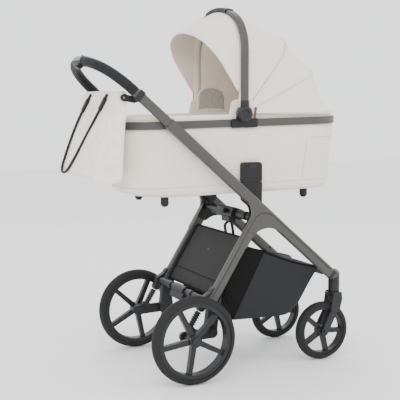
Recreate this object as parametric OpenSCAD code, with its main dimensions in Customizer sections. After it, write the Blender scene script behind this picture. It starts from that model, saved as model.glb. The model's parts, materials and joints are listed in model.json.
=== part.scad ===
// Bassinet pram: folding chassis, lift-off cot with a folding hood, push bar and hanging bag.
// Millimetres. +X is forward, +Y is the left side, +Z is up. The origin is on the ground, mid-length.

/* [Wheels] */
// Radius of a rear wheel
rear_wheel_r = 145; // [135:1:155]
// Width of a rear tyre
rear_tyre_w = 44; // [36:1:48]
// Distance between the middles of the rear tyres
rear_track = 522; // [516:1:550]
// Radius of a front wheel
front_wheel_r = 103; // [92:1:108]
// Width of a front tyre
front_tyre_w = 36; // [28:1:38]
// Distance between the middles of the front tyres
front_track = 334; // [326:1:340]
// Distance from the foot of a front leg forward to its caster's swivel axis
caster_out = 36.2; // [30:0.2:42]
// How far a front axle trails behind its swivel axis
caster_trail = 49; // [40:1:55]
// Height of a tyre's section, from the rim to the tread
tyre_h = 20; // [16:1:24]
// Number of spokes in a wheel
spokes = 5; // [4:1:7]
// Width of a spoke
spoke_w = 15; // [11:1:18]
// Radius of every wheel axle
axle_r = 6; // [5:0.5:7]

/* [Frame] */
// Distance between the outer faces of the side frames
frame_w = 420; // [418:1:430]
// Width of a frame tube, across the pram
tube_w = 24; // [22:1:25]
// Depth of a frame tube, seen from the side
tube_d = 36; // [32:1:38]
// Rounding of a frame tube's corners
tube_round = 8; // [5:0.5:9]
// Wall of the outer push-bar tube
tube_wall = 2.5; // [2:0.1:3]
// Slope of the push-bar tube and front leg
tube_slope = 41; // [40:0.5:42]
// Slope of a rear leg
leg_slope = 58.4; // [57:0.2:60]
// Fold pivot, ahead of the rear axle
pivot_x = 255; // [250:1:260]
// Fold pivot, above the ground
pivot_z = 520; // [515:1:525]
// Distance from the fold pivot up to the push-bar tube's middle line
pivot_drop = 36; // [35:0.5:38]
// Radius of the seam between a junction casting and its rear leg
seam_r = 52; // [50:1:54]
// Radius of the arch between front and rear leg
arch_r = 72; // [66:1:78]
// Radius of the fillet behind the rear leg
nook_r = 50; // [40:1:60]
// Length of a rear leg below the fold pivot
leg_len = 311; // [305:1:318]
// Length of a front leg below the fold pivot
front_len = 358; // [352:1:362]
// Distance from the fold pivot up to the mouth of the telescopic tube
mouth_len = 445; // [430:1:455]
// Radius of the fold pins
pin_r = 8; // [6:0.5:9]
// Radius of the crossbars and the rear beam
bar_r = 11; // [9:0.5:13]

/* [Push bar] */
// Length of the inner tube that stands out of the mouth
slide_out = 150; // [140:1:160]
// Length of the inner tube held in the outer tube
slide_in = 110; // [100:1:120]
// Radius of the push bar's corners
handle_corner_r = 132; // [120:1:140]
// Turn of each corner
bar_turn = 65; // [60:1:70]
// Radius of the steel bar inside the grip
core_r = 11; // [9:0.5:12]
// Radius of the grip
grip_r = 16.5; // [15:0.5:18]
// Half angle of the console in the middle of the grip
console_half = 9; // [7:0.5:11]

/* [Cot] */
// Length of the cot rim
cot_len = 810; // [796:2:820]
// Width of the cot rim
cot_w = 362; // [356:1:364]
// Radius of the rim's corners, seen from above
cot_corner_r = 130; // [115:1:145]
// Height of the rim
rim_h = 24; // [20:1:28]
// Width of the rim's section
rim_w = 10; // [8:0.5:12]
// Height of the rim's middle at the hood hubs
rim_z = 838; // [832:1:844]
// Tilt of the cot, head end up
cot_tilt = 1.2; // [0:0.1:1.6]
// Depth of the tub below the rim
tub_depth = 226; // [215:1:230]
// How far the tub draws in towards its bottom, on each side
tub_draw = 18; // [16:1:22]
// How far the liner stands above the rim
liner_h = 17; // [10:1:22]
// Wall of the tub
tub_wall = 8; // [6:0.5:10]
// Thickness of the mattress
mattress_h = 40; // [30:1:50]
// Diameter of a cot foot
foot_d = 27; // [22:1:30]

/* [Hood] */
// Hood hubs, ahead of the rear axle
hub_x = 214; // [210:1:218]
// Hood hubs, above the rim's middle
hub_up = 30; // [28:1:34]
// Radius of a hood hub
hub_r = 25.5; // [22:0.5:27]
// Height of the carry bow above the hubs
bow_h = 356; // [345:1:360]
// Radius of the carry bow's corners
bow_corner_r = 125; // [115:1:130]
// Width of the carry bow, seen from the side
bow_w = 26; // [22:1:28]
// Thickness of the carry bow
bow_t = 14; // [11:1:15]
// Angle of the middle bow above the rim
middle_angle = 52; // [49:1:55]
// Reach of the canopy over the middle bow
middle_reach = 337; // [330:1:342]
// Angle of the front bow above the rim
front_angle = 26; // [24:1:28]
// Reach of the canopy over the front bow
front_reach = 362; // [355:1:368]
// How far the canopy sags between its bows
canopy_sag = 9; // [0:1:12]
// Thickness of the padded canopy
canopy_t = 4; // [3:0.5:6]
// Radius of an inner bow's wire
wire_r = 4; // [3:0.5:5]

/* [Bag and basket] */
// Width of the bag
bag_w = 344; // [320:2:350]
// Height of the bag
bag_h = 290; // [275:1:300]
// Depth of the bag at its bottom
bag_d = 105; // [96:1:112]
// Depth of the bag at its top
bag_top_d = 26; // [20:1:32]
// Thickness of the basket's fabric
cloth_t = 4; // [3:0.5:5]
// Gap between the basket and the side frames
basket_gap = 0.4; // [0.3:0.1:1]
// Height of the basket floor
basket_z = 176; // [172:1:184]

/* [Fits] */
// Radial clearance of every turning fit
turn_gap = 0.05; // [0.02:0.01:0.09]
// Clearance round every sliding piece
slide_gap = 0.3; // [0.2:0.05:0.4]
// Gap between pieces that move past each other
pass_gap = 0.5; // [0.4:0.1:0.8]

/* [Hidden] */
$fn = 48;

// Push-bar and bag fittings
button_r = 9;
bag_pin_r = 4;
bag_strap_r = 4.5;
clip_y = 174;
clip_t = 6;

// Colours
gunmetal = "#69695f";
dark = "#3a3a3c";
black = "#242426";
cream = "#e2ded7";
silver = "#aaaaaa";
cloth = "#38383a";

// Frame lines, seen from the side: [x, z]
frame_y = frame_w / 2;
tube_y = frame_y - tube_w / 2;
inner_y = frame_y - tube_w;
pivot = [pivot_x, pivot_z];
tube_dir = [cos(tube_slope), -sin(tube_slope)];
tube_up = [sin(tube_slope), cos(tube_slope)];
leg_dir = [-cos(leg_slope), -sin(leg_slope)];
leg_front = [sin(leg_slope), -cos(leg_slope)];
web_in = 2.5;
pin_out = 12;
slide_down = 25;
slide_w = tube_w - 2 * tube_wall - 2 * slide_gap;
slide_d = tube_d - 2 * tube_wall - 2 * slide_gap;
slide_round = tube_round - tube_wall;
groove_in = 10;
groove_w = 1.4;
groove_deep = 1;
groove_r = 49;

// Wheels and suspension
rear_y = rear_track / 2;
front_y = front_track / 2;
axle_back = 92.04;
heel_up = 255.113;
elbow_drop = 72.3;
crown_up = 212;
rear_phase = 45;
front_phase = -4;
arm_y = frame_y + pass_gap;
arm_t = 13;
arm_boss_r = 17;
housing_boss_r = 16;
spring_r = 10.4;
spring_wire_r = 1.9;
spring_turns = 7;
rear_rim_t = 14;
front_rim_t = 7;
far_phase = 66;
hub_wheel_r = 21;
rear_hub_l = 36;
rear_panel_y = inner_y - 0.4;
fork_arm_t = 7;
fork_gap = 3;
elbow_r = 20;
stem_r = 7;
stem_l = 44;
tongue_r = 17.5;
fold_bar_y = inner_y - 2;
latch_in = 22;
latch_w = 44;
latch_h = 16;
strap_w = 22;

// Cot, measured from the middle of the rim at the hood hubs
cot_mid = 220 - hub_x;
tub_edge = 24;
bracket_y = cot_w / 2 + 0.3;
bracket_t = 5;
hub_pin_r = 6;
hub_button_r = 11;
wire_from = 36;
hood_from = 62;
hood_len = 406;
visor_tuck = 6;
visor_from = 72;
visor_foot = -17.3;
visor_top = [-147, 270];
socket_in_y = 166.8;
socket_y = 184.8;
hub_at = [hub_x - hub_up * sin(cot_tilt), rim_z + hub_up * cos(cot_tilt)];
eye_pin_r = 2.5;
adapter_x = 248;
adapter_l = 74;
adapter_z = 640;
adapter_in_y = 168.5;
tongue_in = 5;
socket_top = 706;
foot_x = [-47, 478];
foot_y = 120;
foot_h = 30;

function unit(v) = v / norm(v);
function cross2(a, b) = a[0] * b[1] - a[1] * b[0];
function meet(p, u, q, w) = p + u * (cross2(q - p, w) / cross2(u, w));
function on_tube(s, t) = pivot + tube_dir * s + tube_up * (pivot_drop + t);
function on_leg(s, t) = pivot + leg_dir * s + leg_front * t;
front_bar = on_tube(front_len - 26, -14);
heel = on_leg(leg_len, 0);
rear_axle = heel - [axle_back, heel_up - rear_wheel_r];
arm_pivot = rear_axle + [86, 7];
beam_at = rear_axle + [68, 113];
spring_low = rear_axle + [13, 27];
spring_top = rear_axle + [44, 77];
foot = on_tube(front_len, 0);
swivel_x = foot[0] + caster_out;
elbow_z = foot[1] - elbow_drop;
crown_z = elbow_z - 28;
front_axle_z = crown_z - crown_up + front_wheel_r;
function wrap(a) = a > 180 ? a - 360 : a < -180 ? a + 360 : a;
function angle_of(v) = atan2(v[1], v[0]);

// Corner p between a and b, rounded with radius r in n steps
function rounded(a, p, b, r, n = 8) = r == 0 ? [p] :
    let (
        u = unit(a - p),
        w = unit(b - p),
        half = acos(u * w) / 2,
        c = p + unit(u + w) * (r / sin(half)),
        start = angle_of(p + u * (r / tan(half)) - c),
        turn = wrap(angle_of(p + w * (r / tan(half)) - c) - start)
    )
    [for (i = [0:n]) c + r * [cos(start + turn * i / n), sin(start + turn * i / n)]];

// Closed outline through corners [point, radius]
function outline(corners, n = 8) = let (m = len(corners))
    [for (i = [0:m - 1]) each
        rounded(corners[(i + m - 1) % m][0], corners[i][0], corners[(i + 1) % m][0], corners[i][1], n)];

// A counterclockwise outline drawn in by d. Each edge moves by d times the weight of its first point.
function drawn_in(pts, d, weights) = let (m = len(pts))
    [for (i = [0:m - 1]) let (
        h = (i + m - 1) % m,
        u = unit(pts[i] - pts[h]),
        w = unit(pts[(i + 1) % m] - pts[i]),
        n1 = [-u[1], u[0]],
        n2 = [-w[1], w[0]],
        c = n1 * n2,
        d1 = d * weights[h],
        d2 = d * weights[i]
    ) pts[i] + (c > 0.999 ? n1 * (d1 + d2) / 2 : (d1 * (n1 - c * n2) + d2 * (n2 - c * n1)) / (1 - c * c))];

// Closed surface through rings of points, with flat ends
module skin(rings, flip = false) {
    n = len(rings[0]);
    m = len(rings);
    sides = [for (k = [0:m - 2], i = [0:n - 1]) let (
        a = k * n + i,
        b = k * n + (i + 1) % n
    ) each [[a, b, b + n], [a, b + n, a + n]]];
    ends = [[for (i = [n - 1:-1:0]) i], [for (i = [0:n - 1]) (m - 1) * n + i]];
    faces = concat(sides, ends);
    turned = [for (f = faces) [for (i = [len(f) - 1:-1:0]) f[i]]];
    polyhedron([for (r = rings) each r], flip ? turned : faces, convexity = 8);
}

// Thin shell between an outer and an inner surface, each a list of open rows of points
module shell(outer, inner, flip = false) {
    n = len(outer[0]);
    m = len(outer);
    all = n * m;
    rows = [for (k = [0:m - 2], i = [0:n - 2]) k * n + i];
    faces = concat(
        [for (a = rows) each [[a, a + 1, a + n + 1], [a, a + n + 1, a + n]]],
        [for (a = rows) let (b = a + all) each [[b, b + n + 1, b + 1], [b, b + n, b + n + 1]]],
        [for (i = [0:n - 2]) each [[i, i + all, i + all + 1], [i, i + all + 1, i + 1]]],
        [for (i = [0:n - 2]) let (a = (m - 1) * n + i) each [[a, a + all + 1, a + all], [a, a + 1, a + all + 1]]],
        [for (k = [0:m - 2]) let (a = k * n) each [[a, a + n, a + n + all], [a, a + n + all, a + all]]],
        [for (k = [0:m - 2]) let (a = k * n + n - 1) each [[a, a + n + all, a + n], [a, a + all, a + n + all]]]);
    turned = [for (f = faces) [f[2], f[1], f[0]]];
    polyhedron(concat([for (r = outer) each r], [for (r = inner) each r]), flip ? turned : faces, convexity = 8);
}

// Slab between y0 and y1 on a side-view outline, with edges rounded by r0 and r1 times their weights
module slab(pts, y0, y1, r0 = 0, r1 = 0, weights = [], steps = 3) {
    w = len(weights) > 0 ? weights : [for (p = pts) 1];
    low = r0 == 0 ? [[y0, 0]] : [for (i = [steps:-1:0]) let (a = 90 * i / steps)
        [y0 + r0 * (1 - sin(a)), r0 * (1 - cos(a))]];
    high = r1 == 0 ? [[y1, 0]] : [for (i = [0:steps]) let (a = 90 * i / steps)
        [y1 - r1 * (1 - sin(a)), r1 * (1 - cos(a))]];
    skin([for (l = concat(low, high)) [for (p = drawn_in(pts, l[1], w)) [p[0], l[0], p[1]]]]);
}

// Tube of radius r along a path, with n sides
function tube_ring(p, dir, r, n) = let (
    side = unit(cross(abs(dir[1]) > 0.9 ? [1, 0, 0] : [0, 1, 0], dir)),
    top = cross(dir, side)
) [for (i = [0:n - 1]) p + r * (cos(360 * i / n) * side + sin(360 * i / n) * top)];
function tube_rings(path, r, n) = let (m = len(path)) [for (i = [0:m - 1])
    tube_ring(path[i], unit(path[min(i + 1, m - 1)] - path[max(i - 1, 0)]), r, n)];

// Mirror image for the left side
module side(s) mirror([0, s > 0 ? 1 : 0, 0]) children();
// Cylinder across the pram, from y0 to y1 at the side-view place p
module across(p, r, y0, y1) translate([p[0], y0, p[1]]) rotate([-90, 0, 0]) cylinder(r = r, h = y1 - y0);
// Flat plate on a side-view shape, from y0 to y1
module plate(y0, y1) translate([0, y1, 0]) rotate([90, 0, 0]) linear_extrude(y1 - y0) children();
// Places children on a rear leg's middle line: X across the pram, Y in depth, Z up the leg
module along_leg(s) translate([on_leg(s, 0)[0], 0, on_leg(s, 0)[1]])
    rotate([0, 90 - leg_slope, 0]) rotate([0, 0, 90]) children();
// Places children on the push-bar tube's middle line: X across the pram, Y in depth, Z up the tube
module along_tube(s) translate([on_tube(s, 0)[0], 0, on_tube(s, 0)[1]])
    rotate([0, tube_slope - 90, 0]) rotate([0, 0, 90]) children();
module rounded_box2(w, d, r) {
    square([w - 2 * r, d], center = true);
    square([w, d - 2 * r], center = true);
    for (x = [-1, 1], y = [-1, 1]) translate([x * (w / 2 - r), y * (d / 2 - r)]) circle(r);
}
module pill2(a, b, r) {
    translate(a) circle(r);
    translate(b) circle(r);
    translate(a) rotate(angle_of(b - a)) translate([0, 0.4 - r]) square([norm(b - a), 2 * r - 0.8]);
}

// Side view of tube, front leg and rear leg, joined by an arch below and a fillet behind
edge = tube_d / 2;
inner_apex = meet(on_tube(0, -edge), tube_dir, on_leg(0, edge), leg_dir);
outer_nook = meet(on_tube(0, -edge), tube_dir, on_leg(0, -edge), leg_dir);
arch_half = acos(tube_dir * leg_dir) / 2;
arch_run = arch_r / tan(arch_half);
nook_run = nook_r * tan(arch_half);
arch_c = inner_apex + unit(tube_dir + leg_dir) * (arch_r / sin(arch_half));
nook_c = outer_nook + unit(leg_dir - tube_dir) * (nook_r / cos(arch_half));
// Arc about c that runs a little into both of the pieces it joins
function web_arc(c, r, from, to) = let (a0 = angle_of(from - c), turn = wrap(angle_of(to - c) - a0))
    [for (i = [0:12]) let (a = a0 + turn * i / 12) c + (r + 0.8) * [cos(a), sin(a)]];
web_shape = concat([on_leg(90, 0)], web_arc(arch_c, arch_r, inner_apex + leg_dir * arch_run, inner_apex + tube_dir * arch_run),
    [on_tube(106, 0), on_tube(-70, 0)],
    web_arc(nook_c, nook_r, outer_nook - tube_dir * nook_run, outer_nook + leg_dir * nook_run));
leg_seam_r = seam_r + pass_gap;
function groove_line(d) = let (
    top = meet(on_tube(0, edge - groove_in - d), tube_dir, on_leg(0, groove_in + d - edge), leg_dir)
) concat([on_leg(leg_len + 5, groove_in + d - edge)],
    rounded(on_leg(leg_len, groove_in + d - edge), top, on_tube(front_len, edge - groove_in - d), groove_r - d),
    [on_tube(front_len + 5, edge - groove_in - d)]);

module groove() plate(-frame_y - 1, groove_deep - frame_y)
    polygon(concat(groove_line(0), [for (i = [len(groove_line(groove_w)) - 1:-1:0]) groove_line(groove_w)[i]]));
// The leg's side of the seam circle about the fold pin
module leg_zone(r) difference() {
    polygon([on_leg(12, 90), on_leg(12, -90), on_leg(2 * leg_len, -90), on_leg(2 * leg_len, 90)]);
    translate(pivot) circle(r, $fn = 96);
}
module leg_tube(s0, s1) along_leg(s1) translate([-tube_y, 0, 0]) linear_extrude(s1 - s0)
    rounded_box2(tube_w, tube_d, tube_round);

// Tube and front leg in one line, with the head of the rear leg, its web and the fold pin
module side_frame() color(gunmetal) difference() {
    union() {
        along_tube(front_len) translate([-tube_y, 0, 0]) linear_extrude(front_len + mouth_len)
            rounded_box2(tube_w, tube_d, tube_round);
        plate(web_in - frame_y, -tube_y - 0.6) difference() {
            polygon(web_shape);
            leg_zone(seam_r);
        }
        intersection() {
            leg_tube(-40, 70);
            across(pivot, seam_r, -frame_y - 1, -tube_y, $fn = 96);
        }
        across(pivot, pin_r, -tube_y - 1, -inner_y + pin_out);
    }
    groove();
    along_tube(slide_in + slide_down - mouth_len) translate([-tube_y, 0, 0])
        linear_extrude(slide_in + slide_down + 1)
        rounded_box2(slide_w + 2 * slide_gap, slide_d + 2 * slide_gap, slide_round + slide_gap);
}

// Rear leg: a tube that ends at the seam outside, and inside in a tongue that turns on the fold pin
module rear_leg() color(gunmetal) difference() {
    union() {
        difference() {
            leg_tube(0, leg_len);
            across(pivot, leg_seam_r, -frame_y - 1, pass_gap - tube_y, $fn = 96);
        }
        across(pivot, tongue_r, pass_gap - tube_y, -inner_y);
        plate(web_in - frame_y, -tube_y - 0.6) intersection() {
            polygon(web_shape);
            leg_zone(leg_seam_r);
        }
    }
    groove();
    across(pivot, pin_r + turn_gap, -frame_y, 0);
}

// Elbow at the foot of a front leg, with the bore of the caster's stem
module front_elbow() {
    color(dark) difference() {
        union() {
            hull() {
                along_tube(front_len - pass_gap) translate([-tube_y, 0, -14])
                    linear_extrude(14, $fn = 32) rounded_box2(tube_w, tube_d, tube_round, $fn = 32);
                translate([swivel_x, -front_y, foot[1] - 12]) sphere(elbow_r, $fn = 32);
            }
            translate([swivel_x, -front_y, elbow_z]) cylinder(r = elbow_r, h = foot[1] - 12 - elbow_z);
        }
        translate([swivel_x, -front_y, elbow_z - 1]) cylinder(r = stem_r + turn_gap, h = stem_l + 1);
        along_tube(front_len) translate([-tube_y, 0, -pass_gap])
            linear_extrude(60) square([2 * tube_w, 2 * tube_d], center = true);
    }
}

module front_crossbar() color(dark) {
    plate(-inner_y, inner_y) translate(front_bar) rotate(-tube_slope) square([26, 12], center = true);
    plate(-inner_y + 30, inner_y - 30) translate(front_bar + 8.5 * tube_up) rotate(-tube_slope)
        rounded_box2(20, 8, 3);
}

// Bar on the fold pivots, with the housing of the fold latch in its middle
module fold_crossbar() color(black) difference() {
    union() {
        across(pivot, bar_r, -fold_bar_y, fold_bar_y);
        for (s = [-1, 1]) across(pivot, bar_r + 4, s * 105 - 32, s * 105 + 32);
        plate(-62, 62) translate(pivot) rotate(-20) rounded_box2(46, 38, 9);
        plate(-30, 30) translate(pivot + [-4, -22]) rounded_box2(26, 22, 5);
    }
    for (s = [0, 1]) side(s) across(pivot, pin_r + turn_gap, -fold_bar_y - 1, pin_out - inner_y + turn_gap);
    latch_pocket(slide_gap);
}
module latch_pocket(g) translate([pivot[0], 0, pivot[1]]) rotate([0, 20, 0]) translate([-latch_in, 0, 0])
    cube([30, latch_w + 2 * g, latch_h + 2 * g], center = true);
module fold_latch() color(dark) difference() {
    latch_pocket(0);
    translate([pivot[0], 0, pivot[1]]) rotate([0, 20, 0]) translate([-latch_in + 10, 0, 0])
        cube([16, latch_w + 1, latch_h + 1], center = true);
}
// Webbing loop that hangs from the latch housing
module fold_strap() color(black) plate(-strap_w / 2, strap_w / 2) difference() {
    pill2(pivot + [-4, -49.3], pivot + [2, -88], 16);
    pill2(pivot + [-4, -49.3], pivot + [2, -88], 12.5);
}

// Post clipped to the inside of a side frame, that carries the cot
module cot_adapter() color(black) {
    plate(-inner_y + pass_gap, -adapter_in_y) difference() {
        polygon(outline([[[adapter_x - adapter_l / 2, on_tube(0, 0)[1] + 34], 6], [[adapter_x + 14, 540], 10],
            [[adapter_x + adapter_l / 2, 548], 10], [[adapter_x + adapter_l / 2, adapter_z], 4],
            [[adapter_x - adapter_l / 2, adapter_z], 4]]));
        translate([adapter_x, 590]) rounded_box2(20, 50, 8);
    }
    plate(-inner_y + tongue_in, -adapter_in_y - 4) translate([adapter_x, adapter_z + 20])
        rounded_box2(46, 44, 8);
}

// Wheels, made about the Y axis at the origin
module tyre(r, w) color(dark) rotate([90, 0, 0]) rotate_extrude($fn = 96) difference() {
    translate([r - tyre_h, 0]) intersection() {
        translate([tyre_h - w * 0.52, 0]) circle(w * 0.52);
        translate([0, -w / 2]) square([tyre_h, w]);
    }
    translate([r - tyre_h - 1, -w / 2 + 6]) square([4, w - 12]);
}
module rim(r, w, bore_len, rim_t) {
    seat_r = r - tyre_h;
    color(dark) rotate([90, 0, 0]) difference() {
        union() {
            rotate_extrude($fn = 96) difference() {
                translate([seat_r - rim_t, -w / 2 + 4]) square([rim_t + 2.8, w - 8]);
                for (s = [-1, 1]) translate([seat_r - 0.1, s * (w / 2) - 7]) square([4, 14]);
            }
            for (i = [0:spokes - 1]) rotate(i * 360 / spokes) translate([0, 0, -w * 0.22])
                linear_extrude(w * 0.44) polygon([[0, -spoke_w * 0.62], [seat_r - rim_t + 1, -spoke_w / 2],
                    [seat_r - rim_t + 1, spoke_w / 2], [0, spoke_w * 0.62]]);
            cylinder(r = hub_wheel_r, h = bore_len, center = true);
        }
        cylinder(r = axle_r + turn_gap, h = bore_len + 2, center = true);
    }
}
module at_rear() translate([rear_axle[0], -rear_y, rear_axle[1]]) children();
module at_front() translate([swivel_x - caster_trail, -front_y, front_axle_z]) children();
module rear_tyre() at_rear() tyre(rear_wheel_r, rear_tyre_w);
module rear_rim(phase) at_rear() rotate([0, -phase, 0]) rim(rear_wheel_r, rear_tyre_w, rear_hub_l, rear_rim_t);
module front_tyre() at_front() tyre(front_wheel_r, front_tyre_w);
module front_rim() at_front() rotate([0, -front_phase, 0])
    rim(front_wheel_r, front_tyre_w, front_tyre_w - 4, front_rim_t);

// Swing arm of a rear wheel, with its stub axle and end cap
module swing_arm() color(dark) difference() {
    union() {
        plate(-arm_y - arm_t, -arm_y) {
            pill2(rear_axle + [-14, 3], arm_pivot, arm_boss_r);
            pill2(rear_axle, spring_low - [0, 8], arm_boss_r - 4);
        }
        plate(-arm_y, -tube_y + 10) translate(spring_low - [0, 6]) rotate(leg_slope - 90) rounded_box2(34, 8, 3);
        across(rear_axle, hub_wheel_r - 2, -rear_y + rear_hub_l / 2 + pass_gap, -arm_y - arm_t);
        across(rear_axle, axle_r, -rear_y - rear_hub_l / 2 - 1, -arm_y);
        across(rear_axle, axle_r + 7, -rear_y - rear_hub_l / 2 - 4, -rear_y - rear_hub_l / 2 - pass_gap);
    }
    across(arm_pivot, pin_r + turn_gap, -arm_y - arm_t - 1, -arm_y + 1);
}
// Housing on the end of a rear leg: arm pivot below, spring seat and beam behind
module suspension_housing() color(dark) {
    difference() {
        union() {
            plate(-frame_y, -inner_y) {
                pill2(on_leg(leg_len - 26, -3), arm_pivot, housing_boss_r + 5);
                pill2(on_leg(leg_len - 20, -6), beam_at, housing_boss_r);
                pill2(beam_at, spring_top + [8, 12], housing_boss_r - 4);
            }
        }
        plate(-frame_y - 1, -inner_y + 1) polygon([on_leg(leg_len - 70, edge + pass_gap),
            on_leg(leg_len + pass_gap, edge + pass_gap), on_leg(leg_len + pass_gap, -edge - pass_gap),
            on_leg(leg_len - 70, -edge - pass_gap)]);
    }
    across(arm_pivot, pin_r, -arm_y - arm_t - 3, -frame_y);
    across(arm_pivot, pin_r + 5, -arm_y - arm_t - 5, -arm_y - arm_t - pass_gap);
}
// Coil spring between swing arm and housing, one unbroken wire
spring_line = spring_top - spring_low;
spring_axis = unit([spring_line[0], 0, spring_line[1]]);
spring_side = [spring_axis[2], 0, -spring_axis[0]];
spring_h = norm(spring_line) + 2.76 - 2 * spring_wire_r;
spring_path = [for (i = [0:spring_turns * 8]) let (a = 45 * i + 90)
    [spring_low[0], -tube_y, spring_low[1]] + spring_axis * (spring_wire_r - 0.66 + spring_h * i / (spring_turns * 8))
    + spring_r * (cos(a) * spring_side + sin(a) * [0, 1, 0])];
spring_gap = min([for (i = [0:len(spring_path) - 7], j = [i + 6:len(spring_path) - 1])
    norm(spring_path[i] - spring_path[j])]) - 2 * spring_wire_r;
echo(spring_gap = spring_gap);
module rear_spring() color(black) skin(tube_rings(spring_path, spring_wire_r, 6));

module rear_beam() color(black) {
    across(beam_at, bar_r, -inner_y, inner_y);
    for (s = [-1, 1]) across(beam_at, bar_r + 3, s * 88 - 14, s * 88 + 14);
}
// Foot brake that hangs from the rear beam
module brake_pedal() color(black) difference() {
    union() {
        across(beam_at, bar_r + 5, -46, 46);
        plate(-52, 52) polygon(outline([[beam_at + [-9, 4], 4], [beam_at + [-24, -26], 4], [beam_at + [-16, -34], 4],
            [beam_at + [12, -8], 4]]));
    }
    across(beam_at, bar_r + turn_gap, -60, 60);
}

// Caster fork, made about its swivel axis: stem, crown, two arms and the wheel's axle
module caster_fork() color(dark) translate([swivel_x, -front_y, 0]) {
    arm_in = front_tyre_w / 2 + fork_gap;
    axle = [-caster_trail, front_axle_z];
    difference() {
        union() {
            translate([0, 0, crown_z]) cylinder(r = elbow_r, h = elbow_z - pass_gap - crown_z);
            for (s = [0, 1]) side(s) {
                plate(-arm_in - fork_arm_t, -arm_in) {
                    pill2(axle, [-8, crown_z - 30], 13);
                    polygon(outline([[[-27, crown_z - 34], 6], [[8, crown_z - 40], 8], [[19, crown_z + 2], 6],
                        [[16, elbow_z - pass_gap], 3], [[-16, elbow_z - pass_gap], 3]]));
                }
                plate(-arm_in - fork_arm_t, 0) translate([0, crown_z + 10]) rounded_box2(32, 20, 5);
            }
        }
        translate([-elbow_r - 4, -12 - slide_gap, crown_z + 14 - slide_gap]) cube([14 + slide_gap, 24 + 2 * slide_gap, 40]);
    }
    translate([0, 0, elbow_z - 4]) cylinder(r = stem_r, h = stem_l - 2);
    across(axle, axle_r, -arm_in - fork_arm_t - 3, arm_in + fork_arm_t + 3);
    for (s = [-1, 1]) across(axle, axle_r + 5, s * (front_tyre_w / 2 - 2 + fork_gap + 0.1) - fork_gap / 2 + 0.2,
        s * (front_tyre_w / 2 - 2 + fork_gap + 0.1) + fork_gap / 2 - 0.2);
}
// Slider at the back of a caster's crown
module swivel_lock() color(black) translate([swivel_x - elbow_r - 9, -front_y - 12, crown_z + 14])
    cube([18, 24, 12]);

// Basket: fabric trough between the side frames, open at the top and behind
basket_y = inner_y - basket_gap;
basket_side = [on_leg(100, 16), on_leg(leg_len - 60, 16), [heel[0] + 86, basket_z], [front_bar[0] - 137, basket_z],
    [front_bar[0] - 86, basket_z + 42], front_bar + [-14, 15.2]];
basket_hollow = [on_leg(70, -20), on_leg(leg_len - 60, -30), [heel[0] + 58, basket_z + cloth_t],
    [front_bar[0] - 139, basket_z + cloth_t], [front_bar[0] - 90, basket_z + 44], front_bar + [-24, 9.2],
    front_bar + [0, 67.2]];
module basket() color(cloth) difference() {
    plate(-basket_y, basket_y) polygon(basket_side);
    plate(cloth_t - basket_y, basket_y - cloth_t) polygon(basket_hollow);
}
module basket_rear_panel() color(cloth) plate(-rear_panel_y, rear_panel_y) polygon([on_leg(75, -2), on_leg(75, 2),
    on_leg(leg_len - 12, 2), on_leg(leg_len - 12, -2)]);

// Arch in its own plane: two legs, two corners and a flatter top, from leg height r0 to a top at reach.
// Each point is [sideways, up].
function top_r(half_w, r) = (half_w - r + r * cos(bar_turn)) / cos(bar_turn);
function arch_rise(half_w, r) = r * sin(bar_turn) + top_r(half_w, r) * (1 - sin(bar_turn));
function arch_points(half_w, r, r0, reach, n = 6) = let (
    leg = reach - arch_rise(half_w, r),
    rt = top_r(half_w, r),
    ct = leg + (r - rt) * sin(bar_turn),
    half = concat([[half_w, r0]],
        [for (i = [0:n]) let (a = bar_turn * i / n) [half_w - r + r * cos(a), leg + r * sin(a)]],
        [for (i = [1:n]) let (a = bar_turn + (90 - bar_turn) * i / n) [rt * cos(a), ct + rt * sin(a)]])
) concat(half, [for (i = [len(half) - 2:-1:0]) [-half[i][0], half[i][1]]]);
// The stretch of the arch's top within a half angle of its middle
function arch_top(half_w, r, reach, half_angle, n = 6) = let (rt = top_r(half_w, r))
    [for (i = [-n:n]) [rt * sin(-half_angle * i / n), reach - rt + rt * cos(half_angle * i / n)]];
// Section [outwards, along] swept along an arch that lies in the YZ plane
module arch_bar(points, section) {
    m = len(points);
    skin([for (i = [0:m - 1]) let (
        d = unit(points[min(i + 1, m - 1)] - points[max(i - 1, 0)]),
        out = [d[1], -d[0]]
    ) [for (q = section) [q[1], points[i][0] + out[0] * q[0], points[i][1] + out[1] * q[0]]]]);
}
function round_section(r, n) = [for (i = [0:n - 1]) r * [cos(360 * (i + 0.5) / n), sin(360 * (i + 0.5) / n)]];
function box_section(t, w, r) = [for (x = outline([[[-t / 2, -w / 2], r], [[t / 2, -w / 2], r], [[t / 2, w / 2], r],
    [[-t / 2, w / 2], r]], 3)) x];

// Push bar
grip_s = -mouth_len - slide_out;
grip_low = 6;
apex_up = grip_low + arch_rise(tube_y, handle_corner_r);
grip_arch = arch_points(tube_y, handle_corner_r, -5, apex_up);
module on_grip() along_tube(grip_s) rotate([0, 0, -90]) children();
module handle_bar() color(gunmetal) {
    for (s = [-1, 1]) along_tube(slide_in - mouth_len) translate([s * tube_y, 0, 0])
        linear_extrude(slide_in + slide_out + 2) rounded_box2(slide_w, slide_d, slide_round);
    on_grip() arch_bar(grip_arch, round_section(core_r, 16));
}
module handle_grip() color(black) on_grip() difference() {
    arch_bar(grip_arch, round_section(grip_r, 16));
    arch_bar(grip_arch, round_section(core_r, 16));
    translate([0, 0, -17.6]) cube([4 * grip_r, 3 * frame_y, 40], center = true);
    cube([4 * grip_r, 2 * console_y, 4 * apex_up], center = true);
}
console_y = top_r(tube_y, handle_corner_r) * sin(console_half);
lever_y = -16;
lever_w = 34;
lever_h = 12;
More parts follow.
